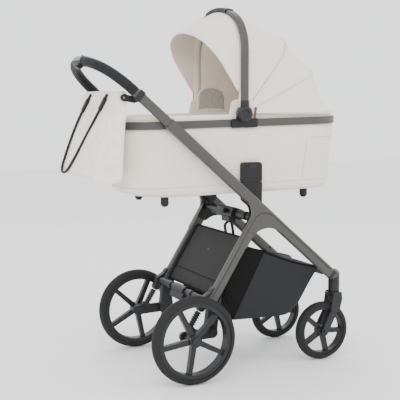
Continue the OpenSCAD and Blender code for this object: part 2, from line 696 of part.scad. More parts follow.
// Block under the console, from x0 to x1 below the bar's middle line
module lever_shape(wall, x0, x1) translate([-x1, lever_y, apex_up - 2]) rotate([0, 90, 0])
    linear_extrude(x1 - x0) rounded_box2(lever_h + 2 * wall, lever_w + 2 * wall, 4);
module button_shape(r, x0, x1) translate([x0, 0, apex_up]) rotate([0, 90, 0]) cylinder(r = r, h = x1 - x0);
module handle_console() color(silver) on_grip() difference() {
    union() {
        intersection() {
            arch_bar(arch_top(tube_y, handle_corner_r, apex_up, console_half + 2), round_section(grip_r + 1, 16));
            cube([4 * grip_r, 2 * console_y - 0.6, 4 * apex_up], center = true);
        }
        lever_shape(4, core_r - 2, core_r + 13);
    }
    arch_bar(grip_arch, round_section(core_r, 16));
    button_shape(button_r + slide_gap, 0, grip_r + 9);
    lever_shape(slide_gap, core_r + 1.5, core_r + 40);
}
module adjust_button() color(dark) on_grip() button_shape(button_r, core_r + 3, grip_r + 3);
module height_lever() color(black) on_grip() lever_shape(0, core_r + 5, core_r + 17);

// Bag
bag_top = [-188, 938];
bag_low = bag_top + [-20, -bag_h];
bag_back = bag_low + bag_d * [-0.985, 0.175];
bag_rear_top = bag_top + [-bag_top_d, 5];
bag_pin = bag_top + [-13, -18];
bag_side = outline([[bag_top, 10], [bag_rear_top, 12], [bag_back, 18], [bag_low, 18]], 5);
module bag_body() color(cream) {
    slab(bag_side, -bag_w / 2, bag_w / 2, 9, 9);
    for (s = [0, 1]) side(s) across(bag_pin, bag_pin_r, -clip_y - clip_t, 24 - bag_w / 2);
}
module bag_clips() color(black) for (s = [0, 1]) side(s) {
    along_tube(grip_s + 26) translate([-tube_y, 0, 0]) linear_extrude(16) difference() {
        rounded_box2(slide_w + 8, slide_d + 8, slide_round + 4);
        rounded_box2(slide_w, slide_d, slide_round);
    }
    plate(-clip_y - clip_t, -clip_y) difference() {
        pill2(on_tube(grip_s + 18, -slide_d / 2), bag_pin, 11);
        translate(bag_pin) circle(bag_pin_r + turn_gap);
    }
    plate(-tube_y + slide_w / 2, -clip_y) translate(on_tube(grip_s + 18, -slide_d / 2 - 1)) circle(9);
}
// Shoulder straps that hang in a loop over the bag's rear face
rear_face = unit(bag_back - bag_rear_top);
rear_out = [rear_face[1], -rear_face[0]];
function on_rear(y, d, out) = let (p = bag_rear_top + rear_face * d + rear_out * out) [p[0], y, p[1]];
strap_drop = 290;
strap_points = [for (k = [[86, 14], [96, 34], [114, 64], [132, 104], [145, 150], [150, 200], [150, 246], [146, 272],
    [133, 286], [119, strap_drop], [103, strap_drop], [86, 286], [68, 272], [44, 240], [18, 196], [-8, 150], [-34, 108], [-58, 66],
    [-74, 34], [-82, 14]])
    on_rear(k[0], k[1], bag_strap_r + pass_gap)];
module bag_straps() color(black) skin(tube_rings(strap_points, bag_strap_r, 8));

// Cot, in its own frame at the hood hubs and the middle of the rim
module cot_frame() translate([hub_x, 0, rim_z]) rotate([0, -cot_tilt, 0]) children();
function plan(x0, x1, half_w, r, z, n = 8) = [for (p = outline([[[x0, -half_w], r], [[x1, -half_w], r],
    [[x1, half_w], r], [[x0, half_w], r]], n)) [p[0], p[1], z]];
tub_y = cot_w / 2 - rim_w / 2;
tub_x0 = cot_mid - cot_len / 2 + rim_w / 2;
tub_x1 = cot_mid + cot_len / 2 - rim_w / 2;
tub_bottom = -rim_h / 2 - tub_depth;
lip_in = rim_w / 2 + pass_gap;
function tub_ring(z, inset, rear, wall = 0) = let (d = tub_draw * min(1, (-rim_h / 2 - z) / tub_depth) + inset + wall)
    plan(tub_x0 + d + inset * rear, tub_x1 - d, tub_y - d, cot_corner_r - rim_w / 2 - 0.5 * d, z);
function lip_ring(z, inset) = plan(tub_x0 + inset, tub_x1 - inset, tub_y - inset, cot_corner_r - rim_w / 2 - inset, z);
tub_rings = concat(
    [for (i = [0:4]) let (a = 22.5 * i)
        tub_ring(tub_bottom + tub_edge * (1 - cos(a)), tub_edge * (1 - sin(a)), 3)],
    [tub_ring(tub_bottom + 110, 0, 0), lip_ring(-rim_h / 2 - pass_gap, 0), lip_ring(-rim_h / 2 - 0.4, lip_in),
        lip_ring(rim_h / 2 + liner_h - 4, lip_in), lip_ring(rim_h / 2 + liner_h, lip_in + 3),
        lip_ring(rim_h / 2 + liner_h, lip_in + tub_wall - 2), lip_ring(rim_h / 2 + liner_h - 6, lip_in + tub_wall)],
    [for (i = [3:-1:0]) let (a = 30 * i)
        tub_ring(tub_bottom + tub_wall + tub_edge * (1 - cos(a)), tub_edge * (1 - sin(a)), 3, tub_wall)]);
module cot_tub() color(cream) cot_frame() skin(tub_rings, true);
module cot_rim() color(gunmetal) cot_frame() translate([cot_mid, 0, -rim_h / 2]) linear_extrude(rim_h) difference() {
    rounded_box2(cot_len, cot_w, cot_corner_r, $fn = 96);
    rounded_box2(cot_len - 2 * rim_w, cot_w - 2 * rim_w, cot_corner_r - rim_w, $fn = 96);
}
// Mattress with a crowned top
module mattress() color(cream) cot_frame() {
    low = tub_bottom + tub_wall + 0.3;
    skin([for (k = [[0, 12], [8, 4], [mattress_h - 16, 4], [mattress_h - 7, 9], [mattress_h - 2, 24], [mattress_h, 46]])
        tub_ring(low + k[0], tub_edge, 3, tub_wall + k[1])], true);
}
module cot_feet() color(black) cot_frame() for (x = foot_x, y = [-foot_y, foot_y])
    translate([x - hub_x, y, tub_bottom]) {
        translate([0, 0, 8 - foot_h]) cylinder(r = foot_d / 2, h = foot_h - 8);
        translate([0, 0, -foot_h]) cylinder(r1 = foot_d / 2 - 6, r2 = foot_d / 2, h = 8);
    }
// Brackets on the rim, with the pins of the hood hubs
module cot_brackets() color(black) cot_frame() for (s = [0, 1]) side(s) {
    plate(-bracket_y - bracket_t, -bracket_y) {
        translate([4, -1]) rounded_box2(96, rim_h + 6, 5);
        translate([0, hub_up]) circle(hub_r);
        translate([-hub_r, 0]) square([2 * hub_r, hub_up]);
    }
    across([0, hub_up], hub_pin_r, -bracket_y - bracket_t - 6, -bracket_y - 1);
    across([0, hub_up], eye_pin_r, -bracket_y - 2, 9 - bracket_y);
}
// Sockets that the adapters' tongues enter from below
module cot_sockets() color(black) for (s = [0, 1]) side(s) difference() {
    plate(-socket_y, -socket_in_y) translate([adapter_x, (adapter_z + socket_top) / 2 + pass_gap])
        rounded_box2(adapter_l, socket_top - adapter_z, 10);
    plate(-inner_y + tongue_in - pass_gap, -adapter_in_y - 4 + pass_gap)
        translate([adapter_x, adapter_z + 20]) rounded_box2(46 + 2 * pass_gap, 44 + 2 * pass_gap, 8);
    release_shape(-socket_y - 1, -socket_y + 8, slide_gap);
}
module release_shape(y0, y1, g) plate(y0, y1) translate([adapter_x, socket_top - 12])
    rounded_box2(26 + 2 * g, 11 + 2 * g, 5);
module release_button() color(dark) release_shape(-socket_y - 2, -socket_y + 5, 0);

// Hood
hood_y = bracket_y + bracket_t - 0.5;
bow_y = bracket_y + bracket_t + pass_gap + bow_t / 2;
module at_hub() translate([hub_at[0], 0, hub_at[1]]) children();
bow_arch = arch_points(bow_y, bow_corner_r, 0, bow_h - bow_t / 2);
module carry_bow() color(gunmetal) at_hub() difference() {
    union() {
        arch_bar(bow_arch, box_section(bow_t, bow_w, 5));
        for (s = [0, 1]) side(s) across([0, 0], hub_r, -bow_y - bow_t / 2 - 0.6, -bow_y + bow_t / 2 - 0.2);
    }
    for (s = [0, 1]) side(s) {
        across([0, 0], hub_pin_r + turn_gap, -bow_y - bow_t, 0);
        across([0, 0], hub_button_r + slide_gap, -bow_y - bow_t, -bow_y - bow_t / 2 + 7);
    }
}
module carry_grip() color(black) at_hub() difference() {
    arch_bar(arch_top(bow_y, bow_corner_r, bow_h - bow_t / 2, 15.4),
        [for (q = box_section(bow_t + 2.5, bow_w + 6, 5)) q + [1.75, 0]]);
    arch_bar(bow_arch, box_section(bow_t, bow_w, 5));
}
module hub_button() color(dark) at_hub() across([0, 0], hub_button_r, -bow_y - bow_t / 2 - 2, -bow_y - bow_t / 2 + 3.5);

// Inner bows of the canopy: a wire on two flat eyes at the hubs
wire_y = bracket_y - wire_r - pass_gap;
eye_t = wire_r - 0.3;
module hood_bow(angle, reach, layer) color(black) at_hub() rotate([0, 90 - angle, 0]) {
    arch_bar(arch_points(wire_y, bow_corner_r, wire_from, reach - canopy_t - wire_r - 1), round_section(wire_r, 8));
    for (s = [0, 1]) side(s) plate(-wire_y - wire_r + layer, -wire_y - wire_r + layer + eye_t) difference() {
        pill2([0, 0], [0, wire_from + 6], 5);
        circle(eye_pin_r + turn_gap);
    }
}
module hood_bow_middle() hood_bow(middle_angle, middle_reach, 0);
module hood_bow_front() hood_bow(front_angle, front_reach, wire_r + 0.3);

// Canopy: padded shell through arches that fan out from the hubs
function mid_rib(p, q, sag) = [(p[0] + q[0]) / 2, 2 * p[1] * q[1] * cos((q[0] - p[0]) / 2) / (p[1] + q[1]) - sag, 0];
rim_rib = [cot_tilt, hood_len, 0];
front_rib = [front_angle, front_reach, 0];
middle_rib = [middle_angle, middle_reach, 0];
bow_rib = [90, bow_h - bow_t, bow_w / 2 + pass_gap];
canopy_ribs = [rim_rib, mid_rib(rim_rib, front_rib, canopy_sag), front_rib, mid_rib(front_rib, middle_rib, canopy_sag),
    middle_rib, mid_rib(middle_rib, bow_rib, 0), bow_rib];
function hood_arch(rib, r0, in) = [for (p = arch_points(hood_y - in, bow_corner_r - in, r0, rib[1] - in))
    [hub_at[0] + rib[2] + p[1] * cos(rib[0]), p[0], hub_at[1] + 0.5 + p[1] * sin(rib[0])]];
module hood_canopy() color(cream) shell([for (k = canopy_ribs) hood_arch(k, hood_from, 0)],
    [for (k = canopy_ribs) hood_arch(k, hood_from, canopy_t)]);
// Visor: from under the carry bow to its free edge, which leans out over the cot
visor_edge = [visor_top[0] - visor_foot, visor_top[1] - visor_from];
function visor_arch(t, in) = let (
    bow = arch_points(hood_y - in, bow_corner_r - in, visor_from, bow_h - bow_t - 0.3 - in),
    edge = arch_points(hood_y - in, bow_corner_r - in, 0, norm(visor_edge) - in)
) [for (i = [0:len(bow) - 1]) let (
    p = [visor_tuck - bow_w / 2, bow[i][1]],
    q = [visor_foot, visor_from] + unit(visor_edge) * edge[i][1],
    r = p * (1 - t) + q * t
) [hub_at[0] + r[0], bow[i][0] * (1 - t) + edge[i][0] * t, hub_at[1] + r[1]]];
module hood_visor() color(cream) shell([for (k = [0:4]) visor_arch(k / 4, 0)], [for (k = [0:4]) visor_arch(k / 4, canopy_t)]);

// Middle of the overall length, from the bag's straps to the front wheels
x_mid = (swivel_x - caster_trail + front_wheel_r + on_rear(0, strap_drop, bag_strap_r + pass_gap)[0]
    - bag_strap_r) / 2;
// Places a piece in the part's frame
module placed() translate([-x_mid, 0, 0]) children();

placed() side_frame();  // side_frame_right
placed() side(1) side_frame();  // side_frame_left
placed() front_elbow();  // front_elbow_right
placed() side(1) front_elbow();  // front_elbow_left
placed() front_crossbar();
placed() fold_crossbar();
placed() fold_latch();
placed() fold_strap();
placed() cot_adapter();  // cot_adapter_right
placed() side(1) cot_adapter();  // cot_adapter_left
placed() basket();
placed() rear_leg();  // rear_leg_right
placed() side(1) rear_leg();  // rear_leg_left
placed() rear_beam();
placed() suspension_housing();  // suspension_housing_right
placed() side(1) suspension_housing();  // suspension_housing_left
placed() basket_rear_panel();
placed() rear_spring();  // rear_spring_right
placed() side(1) rear_spring();  // rear_spring_left
placed() brake_pedal();
placed() swing_arm();  // swing_arm_right
placed() side(1) swing_arm();  // swing_arm_left
placed() rear_tyre();  // rear_tyre_right
placed() side(1) rear_tyre();  // rear_tyre_left
placed() rear_rim(rear_phase);  // rear_rim_right
placed() side(1) rear_rim(far_phase);  // rear_rim_left
placed() caster_fork();  // caster_fork_right
placed() side(1) caster_fork();  // caster_fork_left
placed() swivel_lock();  // swivel_lock_right
placed() side(1) swivel_lock();  // swivel_lock_left
placed() front_tyre();  // front_tyre_right
placed() side(1) front_tyre();  // front_tyre_left
placed() front_rim();  // front_rim_right
placed() side(1) front_rim();  // front_rim_left
placed() handle_bar();
placed() handle_grip();
placed() handle_console();
placed() adjust_button();
placed() height_lever();
placed() bag_body();
placed() bag_clips();
placed() bag_straps();
placed() cot_tub();
placed() cot_rim();
placed() cot_brackets();
placed() cot_sockets();
placed() cot_feet();
placed() mattress();
placed() release_button();  // release_button_right
placed() side(1) release_button();  // release_button_left
placed() carry_bow();
placed() carry_grip();
placed() hood_bow_middle();
placed() hood_bow_front();
placed() hood_canopy();
placed() hood_visor();
placed() hub_button();  // hub_button_right
placed() side(1) hub_button();  // hub_button_left
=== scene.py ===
import json
import math

import bmesh
import bpy
import numpy as np
from mathutils import Matrix, Vector
from mathutils.bvhtree import BVHTree


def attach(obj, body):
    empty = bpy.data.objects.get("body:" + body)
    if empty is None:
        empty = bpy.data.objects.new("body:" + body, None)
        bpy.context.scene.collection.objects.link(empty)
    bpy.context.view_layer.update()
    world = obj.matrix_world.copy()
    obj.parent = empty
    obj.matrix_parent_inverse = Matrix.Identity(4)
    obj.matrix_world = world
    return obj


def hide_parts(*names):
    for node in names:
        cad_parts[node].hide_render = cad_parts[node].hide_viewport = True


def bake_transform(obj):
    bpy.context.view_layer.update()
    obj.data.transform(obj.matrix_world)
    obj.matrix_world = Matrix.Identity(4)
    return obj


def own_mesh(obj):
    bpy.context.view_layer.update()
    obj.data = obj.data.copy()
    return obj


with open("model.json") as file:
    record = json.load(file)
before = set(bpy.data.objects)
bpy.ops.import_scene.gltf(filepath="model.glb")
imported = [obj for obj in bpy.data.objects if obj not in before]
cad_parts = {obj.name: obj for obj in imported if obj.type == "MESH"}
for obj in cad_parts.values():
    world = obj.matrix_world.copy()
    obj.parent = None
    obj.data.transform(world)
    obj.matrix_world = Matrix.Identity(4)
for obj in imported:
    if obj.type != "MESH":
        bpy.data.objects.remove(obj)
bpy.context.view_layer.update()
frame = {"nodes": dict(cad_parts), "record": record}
NODES = frame["nodes"]
# Sizes below are in millimetres from the rear axle, as in the part's source
X_MID = 159.726
HUB = (213.372, 867.993)
SIDES = ((-1, "right"), (1, "left"))


def at(x, y, z):
    """Point in the frame, in metres."""
    return Vector(((x - X_MID) / 1000, y / 1000, z / 1000))


def flat(q, y):
    """Point of the side view, at y."""
    return at(q[0], y, q[1])


def unit(v):
    """Vector of length 1."""
    return v / np.linalg.norm(v)


def polar(a):
    """Direction in the side view at an angle in radians."""
    return np.array((math.cos(a), math.sin(a)))


# Materials
def linear(srgb):
    """Linear colour of 8-bit sRGB values."""
    return [c / 12.92 if c <= 0.04045 else ((c + 0.055) / 1.055) ** 2.4 for c in (v / 255 for v in srgb)]


class Nodes:
    """Short way to build a material's node tree."""

    def __init__(self, name):
        self.mat = bpy.data.materials.new(name)
        self.mat.use_nodes = True
        self.tree = self.mat.node_tree
        self.bsdf = self.tree.nodes["Principled BSDF"]
        self.place = self.new("ShaderNodeTexCoord").outputs["Object"]

    def new(self, kind, **values):
        n = self.tree.nodes.new(kind)
        for k, v in values.items():
            if k in n.inputs:
                n.inputs[k].default_value = v
            else:
                setattr(n, k, v)
        return n

    def link(self, a, b):
        self.tree.links.new(a, b)

    def texture(self, kind, out, **values):
        n = self.new(kind, **values)
        self.link(self.place, n.inputs["Vector"])
        return n.outputs[out]

    def noise(self, scale, detail=3.0, rough=0.55):
        return self.texture("ShaderNodeTexNoise", "Fac", Scale=scale, Detail=detail, Roughness=rough)

    def cells(self, scale, feature="F1"):
        return self.texture("ShaderNodeTexVoronoi", "Distance", Scale=scale, feature=feature)

    def bands(self, axis, period):
        # a wave texture of scale 1 has 20 bands in 2 pi
        return self.texture("ShaderNodeTexWave", "Fac", Scale=2 * math.pi / (20 * period), bands_direction=axis)

    def calc(self, op, a, b):
        n = self.new("ShaderNodeMath", operation=op)
        for i, v in enumerate((a, b)):
            if isinstance(v, (int, float)):
                n.inputs[i].default_value = v
            else:
                self.link(v, n.inputs[i])
        return n.outputs[0]

    def spread(self, fac, lo, hi, a=0.3, b=0.7):
        n = self.new("ShaderNodeMapRange")
        self.link(fac, n.inputs["Value"])
        for k, v in (("From Min", a), ("From Max", b), ("To Min", lo), ("To Max", hi)):
            n.inputs[k].default_value = v
        return n.outputs["Result"]

    def tint(self, fac, colours):
        n = self.new("ShaderNodeValToRGB")
        while len(n.color_ramp.elements) < len(colours):
            n.color_ramp.elements.new(0.5)
        for e, (p, c) in zip(n.color_ramp.elements, colours):
            e.position = p
            e.color = (*c, 1)
        self.link(fac, n.inputs["Fac"])
        return n.outputs["Color"]

    def bump(self, height, strength, distance, below=None):
        n = self.new("ShaderNodeBump", Strength=strength, Distance=distance)
        self.link(height, n.inputs["Height"])
        if below is not None:
            self.link(below, n.inputs["Normal"])
        return n.outputs["Normal"]

    def done(self, colour, rough, normal, **values):
        for k, v in (("Base Color", colour), ("Roughness", rough), ("Normal", normal)):
            if v is not None:
                self.link(v, self.bsdf.inputs[k])
        for k, v in values.items():
            self.bsdf.inputs[k.replace("_", " ")].default_value = v
        return self.mat


def shades(srgb, spread):
    """Darker and lighter stop of a colour ramp."""
    c = linear(srgb)
    return [(0.25, [v * (1 - spread) for v in c]), (0.75, [min(1, v * (1 + spread)) for v in c])]


def cloth(name, srgb, period=0.0011, melange=0.04, rough=0.85, weave=0.35, drape=0.25, sheen=0.25, shine=0.5):
    """Woven cloth; period is the weave's step in metres."""
    n = Nodes(name)
    grid = n.calc("ADD", n.calc("ADD", n.bands("X", period), n.bands("Y", period)), n.bands("Z", period))
    fibre = n.noise(900, 2)
    mottle = n.calc("ADD", n.calc("MULTIPLY", n.noise(11), 0.55), n.calc("MULTIPLY", fibre, 0.45))
    soft = n.bump(n.noise(9, 2, 0.45), drape, 0.01)
    fine = n.bump(n.calc("ADD", grid, fibre), weave, 0.0004, soft)
    return n.done(n.tint(mottle, shades(srgb, melange)), n.spread(fibre, rough - 0.06, rough + 0.06), fine,
                  Sheen_Weight=sheen, Sheen_Roughness=0.5, Specular_IOR_Level=shine)


def plastic(name, srgb, rough=0.48, grain=0.18, scale=1900):
    n = Nodes(name)
    soil = n.noise(17, 4)
    fine = n.bump(n.cells(scale), grain, 0.0002)
    return n.done(n.tint(soil, shades(srgb, 0.09)), n.spread(soil, rough - 0.07, rough + 0.08), fine,
                  Specular_IOR_Level=0.32)


def painted(name, srgb, rough=0.4, metal=0.55):
    n = Nodes(name)
    flake = n.cells(2600)
    broad = n.noise(7, 3)
    fine = n.bump(n.noise(700, 2), 0.06, 0.0002)
    mixed = n.calc("ADD", n.calc("MULTIPLY", flake, 0.5), n.calc("MULTIPLY", broad, 0.5))
    return n.done(n.tint(mixed, shades(srgb, 0.12)), n.spread(broad, rough - 0.05, rough + 0.07), fine,
                  Metallic=metal, Coat_Weight=0.15, Coat_Roughness=0.3)


def rubber(name, srgb):
    n = Nodes(name)
    pores = n.cells(1300)
    dust = n.noise(23, 5)
    fine = n.bump(pores, 0.3, 0.0004, n.bump(dust, 0.08, 0.002))
    return n.done(n.tint(dust, shades(srgb, 0.15)), n.spread(dust, 0.68, 0.86), fine, Specular_IOR_Level=0.3)


def leather(name, srgb, rough=0.5, shine=0.5):
    n = Nodes(name)
    grain = n.cells(520, "SMOOTH_F1")
    wear = n.noise(26, 4)
    fine = n.bump(grain, 0.45, 0.0006, n.bump(wear, 0.06, 0.002))
    return n.done(n.tint(wear, shades(srgb, 0.1)), n.spread(wear, rough - 0.08, rough + 0.1), fine,
                  Specular_IOR_Level=shine)


def webbing(name, srgb):
    n = Nodes(name)
    rib = n.calc("MULTIPLY", n.bands("Z", 0.0016), n.calc("ADD", n.bands("Y", 0.0024), n.bands("X", 0.0024)))
    fibre = n.noise(700, 2)
    fine = n.bump(n.calc("ADD", rib, n.calc("MULTIPLY", fibre, 0.4)), 0.6, 0.0007)
    return n.done(n.tint(rib, shades(srgb, 0.25)), n.spread(fibre, 0.6, 0.8), fine)


def steel(name, srgb, rough=0.34):
    n = Nodes(name)
    brush = n.noise(160, 3)
    return n.done(n.tint(brush, shades(srgb, 0.15)), n.spread(brush, rough - 0.07, rough + 0.1),
                  n.bump(n.noise(900, 2), 0.08, 0.0002), Metallic=0.9)


def net(name, srgb):
    n = Nodes(name)
    holes = n.cells(420)
    dark = linear(srgb)
    return n.done(n.tint(holes, [(0.2, [v * 0.45 for v in dark]), (0.62, [v * 1.25 for v in dark])]),
                  n.spread(holes, 0.6, 0.85), n.bump(holes, 0.6, 0.0008))


MAT = {
    "frame_metal": painted("gunmetal_paint", (68, 67, 64), 0.45, 0.35),
    "dark_plastic": plastic("dark_moulding", (32, 32, 34)),
    "black_plastic": plastic("black_moulding", (19, 19, 21), 0.46),
    "tyre_foam": rubber("foam_tyre", (29, 29, 29)),
    "wheel_plastic": plastic("wheel_moulding", (31, 31, 32), 0.44, 0.12),
    "basket_cloth": cloth("basket_weave", (23, 23, 25), 0.0014, 0.08, 0.9, 0.4, 0.3, 0.02),
    "basket_strip": cloth("basket_net", (10, 10, 11), 0.002, 0.12, 0.9, 0.6, 0.2, 0.01, 0.2),
    "cream_cloth": cloth("cream_weave", (240, 231, 218), drape=0.12),
    "lining": cloth("beige_lining", (238, 229, 217), 0.0016, 0.05, 0.9, 0.3, 0.3),
    "bag_cloth": leather("cream_leatherette", (244, 237, 226), 0.6, 0.35),
    "webbing": webbing("black_webbing", (18, 18, 20)),
    "grip_leather": leather("grip_leatherette", (26, 26, 28), 0.6, 0.22),
    "console_silver": painted("silver_paint", (118, 118, 119), 0.4, 0.5),
    "spring_steel": steel("dark_steel", (72, 72, 75)),
    "window_net": net("window_net", (172, 170, 166)),
    "thread": cloth("seam_thread", (196, 190, 181), 0.0009, 0.06),
    "dark_thread": cloth("dark_thread", (82, 80, 78), 0.0009, 0.06),
    "tab_leather": leather("tan_leather", (104, 70, 45), 0.55, 0.3),
}


# Mesh helpers
def piece(name, points, faces, mats, body=None, which=None, smooth=True):
    """New object from points in metres."""
    me = bpy.data.meshes.new(name)
    me.from_pydata([tuple(p) for p in points], [], faces)
    me.validate()
    for m in mats if isinstance(mats, (list, tuple)) else [mats]:
        me.materials.append(MAT[m])
    if which is not None:
        me.polygons.foreach_set("material_index", [which(p) for p in me.polygons])
    me.polygons.foreach_set("use_smooth", [smooth] * len(me.polygons))
    o = bpy.data.objects.new(name, me)
    bpy.context.scene.collection.objects.link(o)
    clean(o)
    if body:
        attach(o, body)
    return o


def clean(o):
    """Merges points that coincide and turns all faces outwards."""
    bm = bmesh.new()
    bm.from_mesh(o.data)
    bmesh.ops.remove_doubles(bm, verts=bm.verts, dist=1e-6)
    bmesh.ops.recalc_face_normals(bm, faces=bm.faces)
    bm.to_mesh(o.data)
    bm.free()


def settle(o):
    """Applies an object's modifiers to its mesh."""
    deps = bpy.context.evaluated_depsgraph_get()
    me = bpy.data.meshes.new_from_object(o.evaluated_get(deps))
    o.modifiers.clear()
    o.data = me
    return o


def thicken(o, thick, **values):
    """Gives a sheet its thickness."""
    m = o.modifiers.new("thickness", "SOLIDIFY")
    m.thickness = thick
    for k, v in values.items():
        setattr(m, k, v)
    return settle(o)


def crisp(o):
    """Splits the edges that should stay sharp."""
    o.modifiers.new("edges", "EDGE_SPLIT").split_angle = math.radians(40)
    return settle(o)


def rows_faces(m, n, around=False, start=0):
    """Quads between m rows of n points."""
    last = n if around else n - 1
    quads = []
    for k in range(m - 1):
        a, b = start + k * n, start + (k + 1) * n
        quads += [(a + i, a + (i + 1) % n, b + (i + 1) % n, b + i) for i in range(last)]
    return quads


def ends(m, n):
    """Faces that close the first and the last of m rings of n points."""
    return [tuple(range(n))[::-1], tuple((m - 1) * n + i for i in range(n))]


def shell(m, n):
    """Faces of a closed sheet between two grids of m rows of n points."""
    total = m * n
    faces = rows_faces(m, n) + [f[::-1] for f in rows_faces(m, n, start=total)]
    ring = list(range(n)) + [k * n + n - 1 for k in range(1, m)]
    ring += [(m - 1) * n + i for i in range(n - 2, -1, -1)] + [k * n for k in range(m - 2, 0, -1)]
    return faces + [(i, i + total, j + total, j) for i, j in zip(ring, ring[1:] + ring[:1])]


def along(points, n):
    """n points evenly spaced on a smooth curve through the given ones."""
    p = np.array([tuple(q) for q in points], float)
    ext = np.vstack([2 * p[0] - p[1], p, 2 * p[-1] - p[-2]])
    out = []
    for i in range(len(ext) - 3):
        a, b, c, d = ext[i:i + 4]
        for t in np.linspace(0, 1, 24, endpoint=False):
            out.append(0.5 * (2 * b + (c - a) * t + (2 * a - 5 * b + 4 * c - d) * t * t
                              + (3 * b - a - 3 * c + d) * t ** 3))
    return even(out + [p[-1]], n)


def even(line, n, closed=False):
    """n points evenly spaced on a polyline."""
    line = np.array([tuple(q) for q in line], float)
    if closed:
        line = np.vstack([line, line[:1]])
    step = np.concatenate([[0], np.cumsum(np.linalg.norm(np.diff(line, axis=0), axis=1))])
    want = np.linspace(0, step[-1], n + 1)[:-1] if closed else np.linspace(0, step[-1], n)
    return np.stack([np.interp(want, step, line[:, k]) for k in range(line.shape[1])], 1)


def ribbon(name, path, wide, thick, mat, body, side=None, closed=False, sections=6, facing=None):
    """Strap or cord swept along a path in metres; its width lies along side, or across the way it is facing."""
    p = np.array([tuple(q) for q in path], float)
    n = len(p)
    # a rounded rectangle where the strap is flat, a circle where it is round
    k = 0.5 if wide > 1.5 * thick else 1.0
    rings = []
    for i in range(n):
        a, b = (p[(i - 1) % n], p[(i + 1) % n]) if closed else (p[max(i - 1, 0)], p[min(i + 1, n - 1)])
        d = unit(b - a)
        if facing is not None:
            s = np.cross(d, facing)
        elif side is not None:
            s = np.array(side, float)
        else:
            s = np.array((0, 1, 0) if abs(d[1]) < 0.9 else (1, 0, 0), float)
        s = unit(s - d * s.dot(d))
        u = np.cross(d, s)
        for j in range(sections):
            t = 2 * math.pi * (j + 0.5) / sections
            c, q = math.cos(t), math.sin(t)
            rings.append(p[i] + s * (wide / 2 * math.copysign(abs(c) ** k, c))
                         + u * (thick / 2 * math.copysign(abs(q) ** k, q)))
    faces = rows_faces(n, sections, True)
    if closed:
        last = (n - 1) * sections
        faces += [(last + i, last + (i + 1) % sections, (i + 1) % sections, i) for i in range(sections)]
    else:
        faces += ends(n, sections)
    return piece(name, rings, faces, mat, body)


def turned(name, centre, axis, profile, mat, body, n=28):
    """Turned piece: profile gives radius and height along the axis in millimetres."""
    a = unit(np.array(axis, float))
    u = unit(np.cross(a, (0, 0, 1) if abs(a[2]) < 0.9 else (1, 0, 0)))
    w = np.cross(a, u)
    pts = []
    for r, h in profile:
        for k in range(n):
            t = 2 * math.pi * k / n
            pts.append(at(*(np.array(centre) + a * h + r * (u * math.cos(t) + w * math.sin(t)))))
    return crisp(piece(name, pts, rows_faces(len(profile), n, True) + ends(len(profile), n), mat, body))


def slab(name, outline, y0, y1, mat, body):
    """Flat plate between two planes, with its outline in the side view."""
    n = len(outline)
    pts = [flat(q, y) for y in (y0, y1) for q in outline]
    return piece(name, pts, rows_faces(2, n, True) + ends(2, n), mat, body, smooth=False)


def corner(a, p, b, r, n=8):
    """Arc of radius r in the corner p between the points a and b."""
    a, p, b = np.array(a), np.array(p), np.array(b)
    u, w = unit(a - p), unit(b - p)
    half = math.acos(u.dot(w)) / 2
    c = p + unit(u + w) * (r / math.sin(half))
    s, e = p + u * r / math.tan(half) - c, p + w * r / math.tan(half) - c
    a0 = math.atan2(s[1], s[0])
    turn = (math.atan2(e[1], e[0]) - a0 + math.pi) % (2 * math.pi) - math.pi
    return [c + r * polar(a0 + turn * k / n) for k in range(n + 1)]


def rounded_outline(corners):
    """Polygon whose corners have their own radii."""
    out = []
    for i, (p, r) in enumerate(corners):
        out += corner(corners[i - 1][0], p, corners[(i + 1) % len(corners)][0], r)
    return out


def meet(p, u, q, w):
    """Where the lines from p along u and from q along w cross."""
    k = np.linalg.solve(np.array((u, -w)).T, q - p)
    return p + u * k[0]


# Camera, light and floor
cam = bpy.data.objects.new("camera", bpy.data.cameras.new("camera"))
bpy.context.scene.collection.objects.link(cam)
# fitted to the photo
EYE = Vector((-1.2011 - X_MID / 1000, -2.9488, 0.9127))
back = Vector((-0.4117, -0.9051, 0.1061)).normalized()
right = Vector((0.9102, -0.4141, 0)).normalized()
right = (right - back * right.dot(back)).normalized()
up = back.cross(right)
cam.matrix_world = Matrix([[*row, e] for row, e in zip(zip(right, up, back), EYE)] + [[0, 0, 0, 1]])
cam.data.sensor_width = 36
cam.data.lens = 84.33
cam.data.clip_end = 50
bpy.context.scene.camera = cam

world = bpy.data.worlds.new("studio")
world.use_nodes = True
sky = world.node_tree.nodes["Background"].inputs
sky["Color"].default_value = (0.95, 0.96, 0.98, 1)
sky["Strength"].default_value = 1.95
bpy.context.scene.world = world


def lamp(name, place, target, size, power):
    """Round area lamp."""
    o = bpy.data.objects.new(name, bpy.data.lights.new(name, "AREA"))
    o.data.shape = "DISK"
    o.data.size = size
    o.data.energy = power
    bpy.context.scene.collection.objects.link(o)
    o.location = place
    o.rotation_euler = (Vector(target) - Vector(place)).to_track_quat("-Z", "Y").to_euler()


lamp("key", (-1.6, -2.6, 3.0), (0, 0, 0.6), 2.2, 56)
lamp("fill", (2.8, -1.8, 1.7), (0, 0, 0.6), 2.4, 14)
lamp("rim", (0.6, 2.8, 2.6), (0, 0, 0.7), 2.0, 24)

n = Nodes("pale_floor")
floor_mat = n.done(n.tint(n.noise(3, 3), shades((243, 243, 242), 0.01)), n.spread(n.noise(40, 3), 0.8, 0.9),
                   n.bump(n.noise(300, 2), 0.05, 0.0005))
fl = bpy.data.meshes.new("floor")
fl.from_pydata([(-9, -9, 0), (9, -9, 0), (9, 9, 0), (-9, 9, 0)], [], [(0, 1, 2, 3)])
fl.materials.append(floor_mat)
floor = bpy.data.objects.new("floor", fl)
floor.location.z = -0.0008
bpy.context.scene.collection.objects.link(floor)

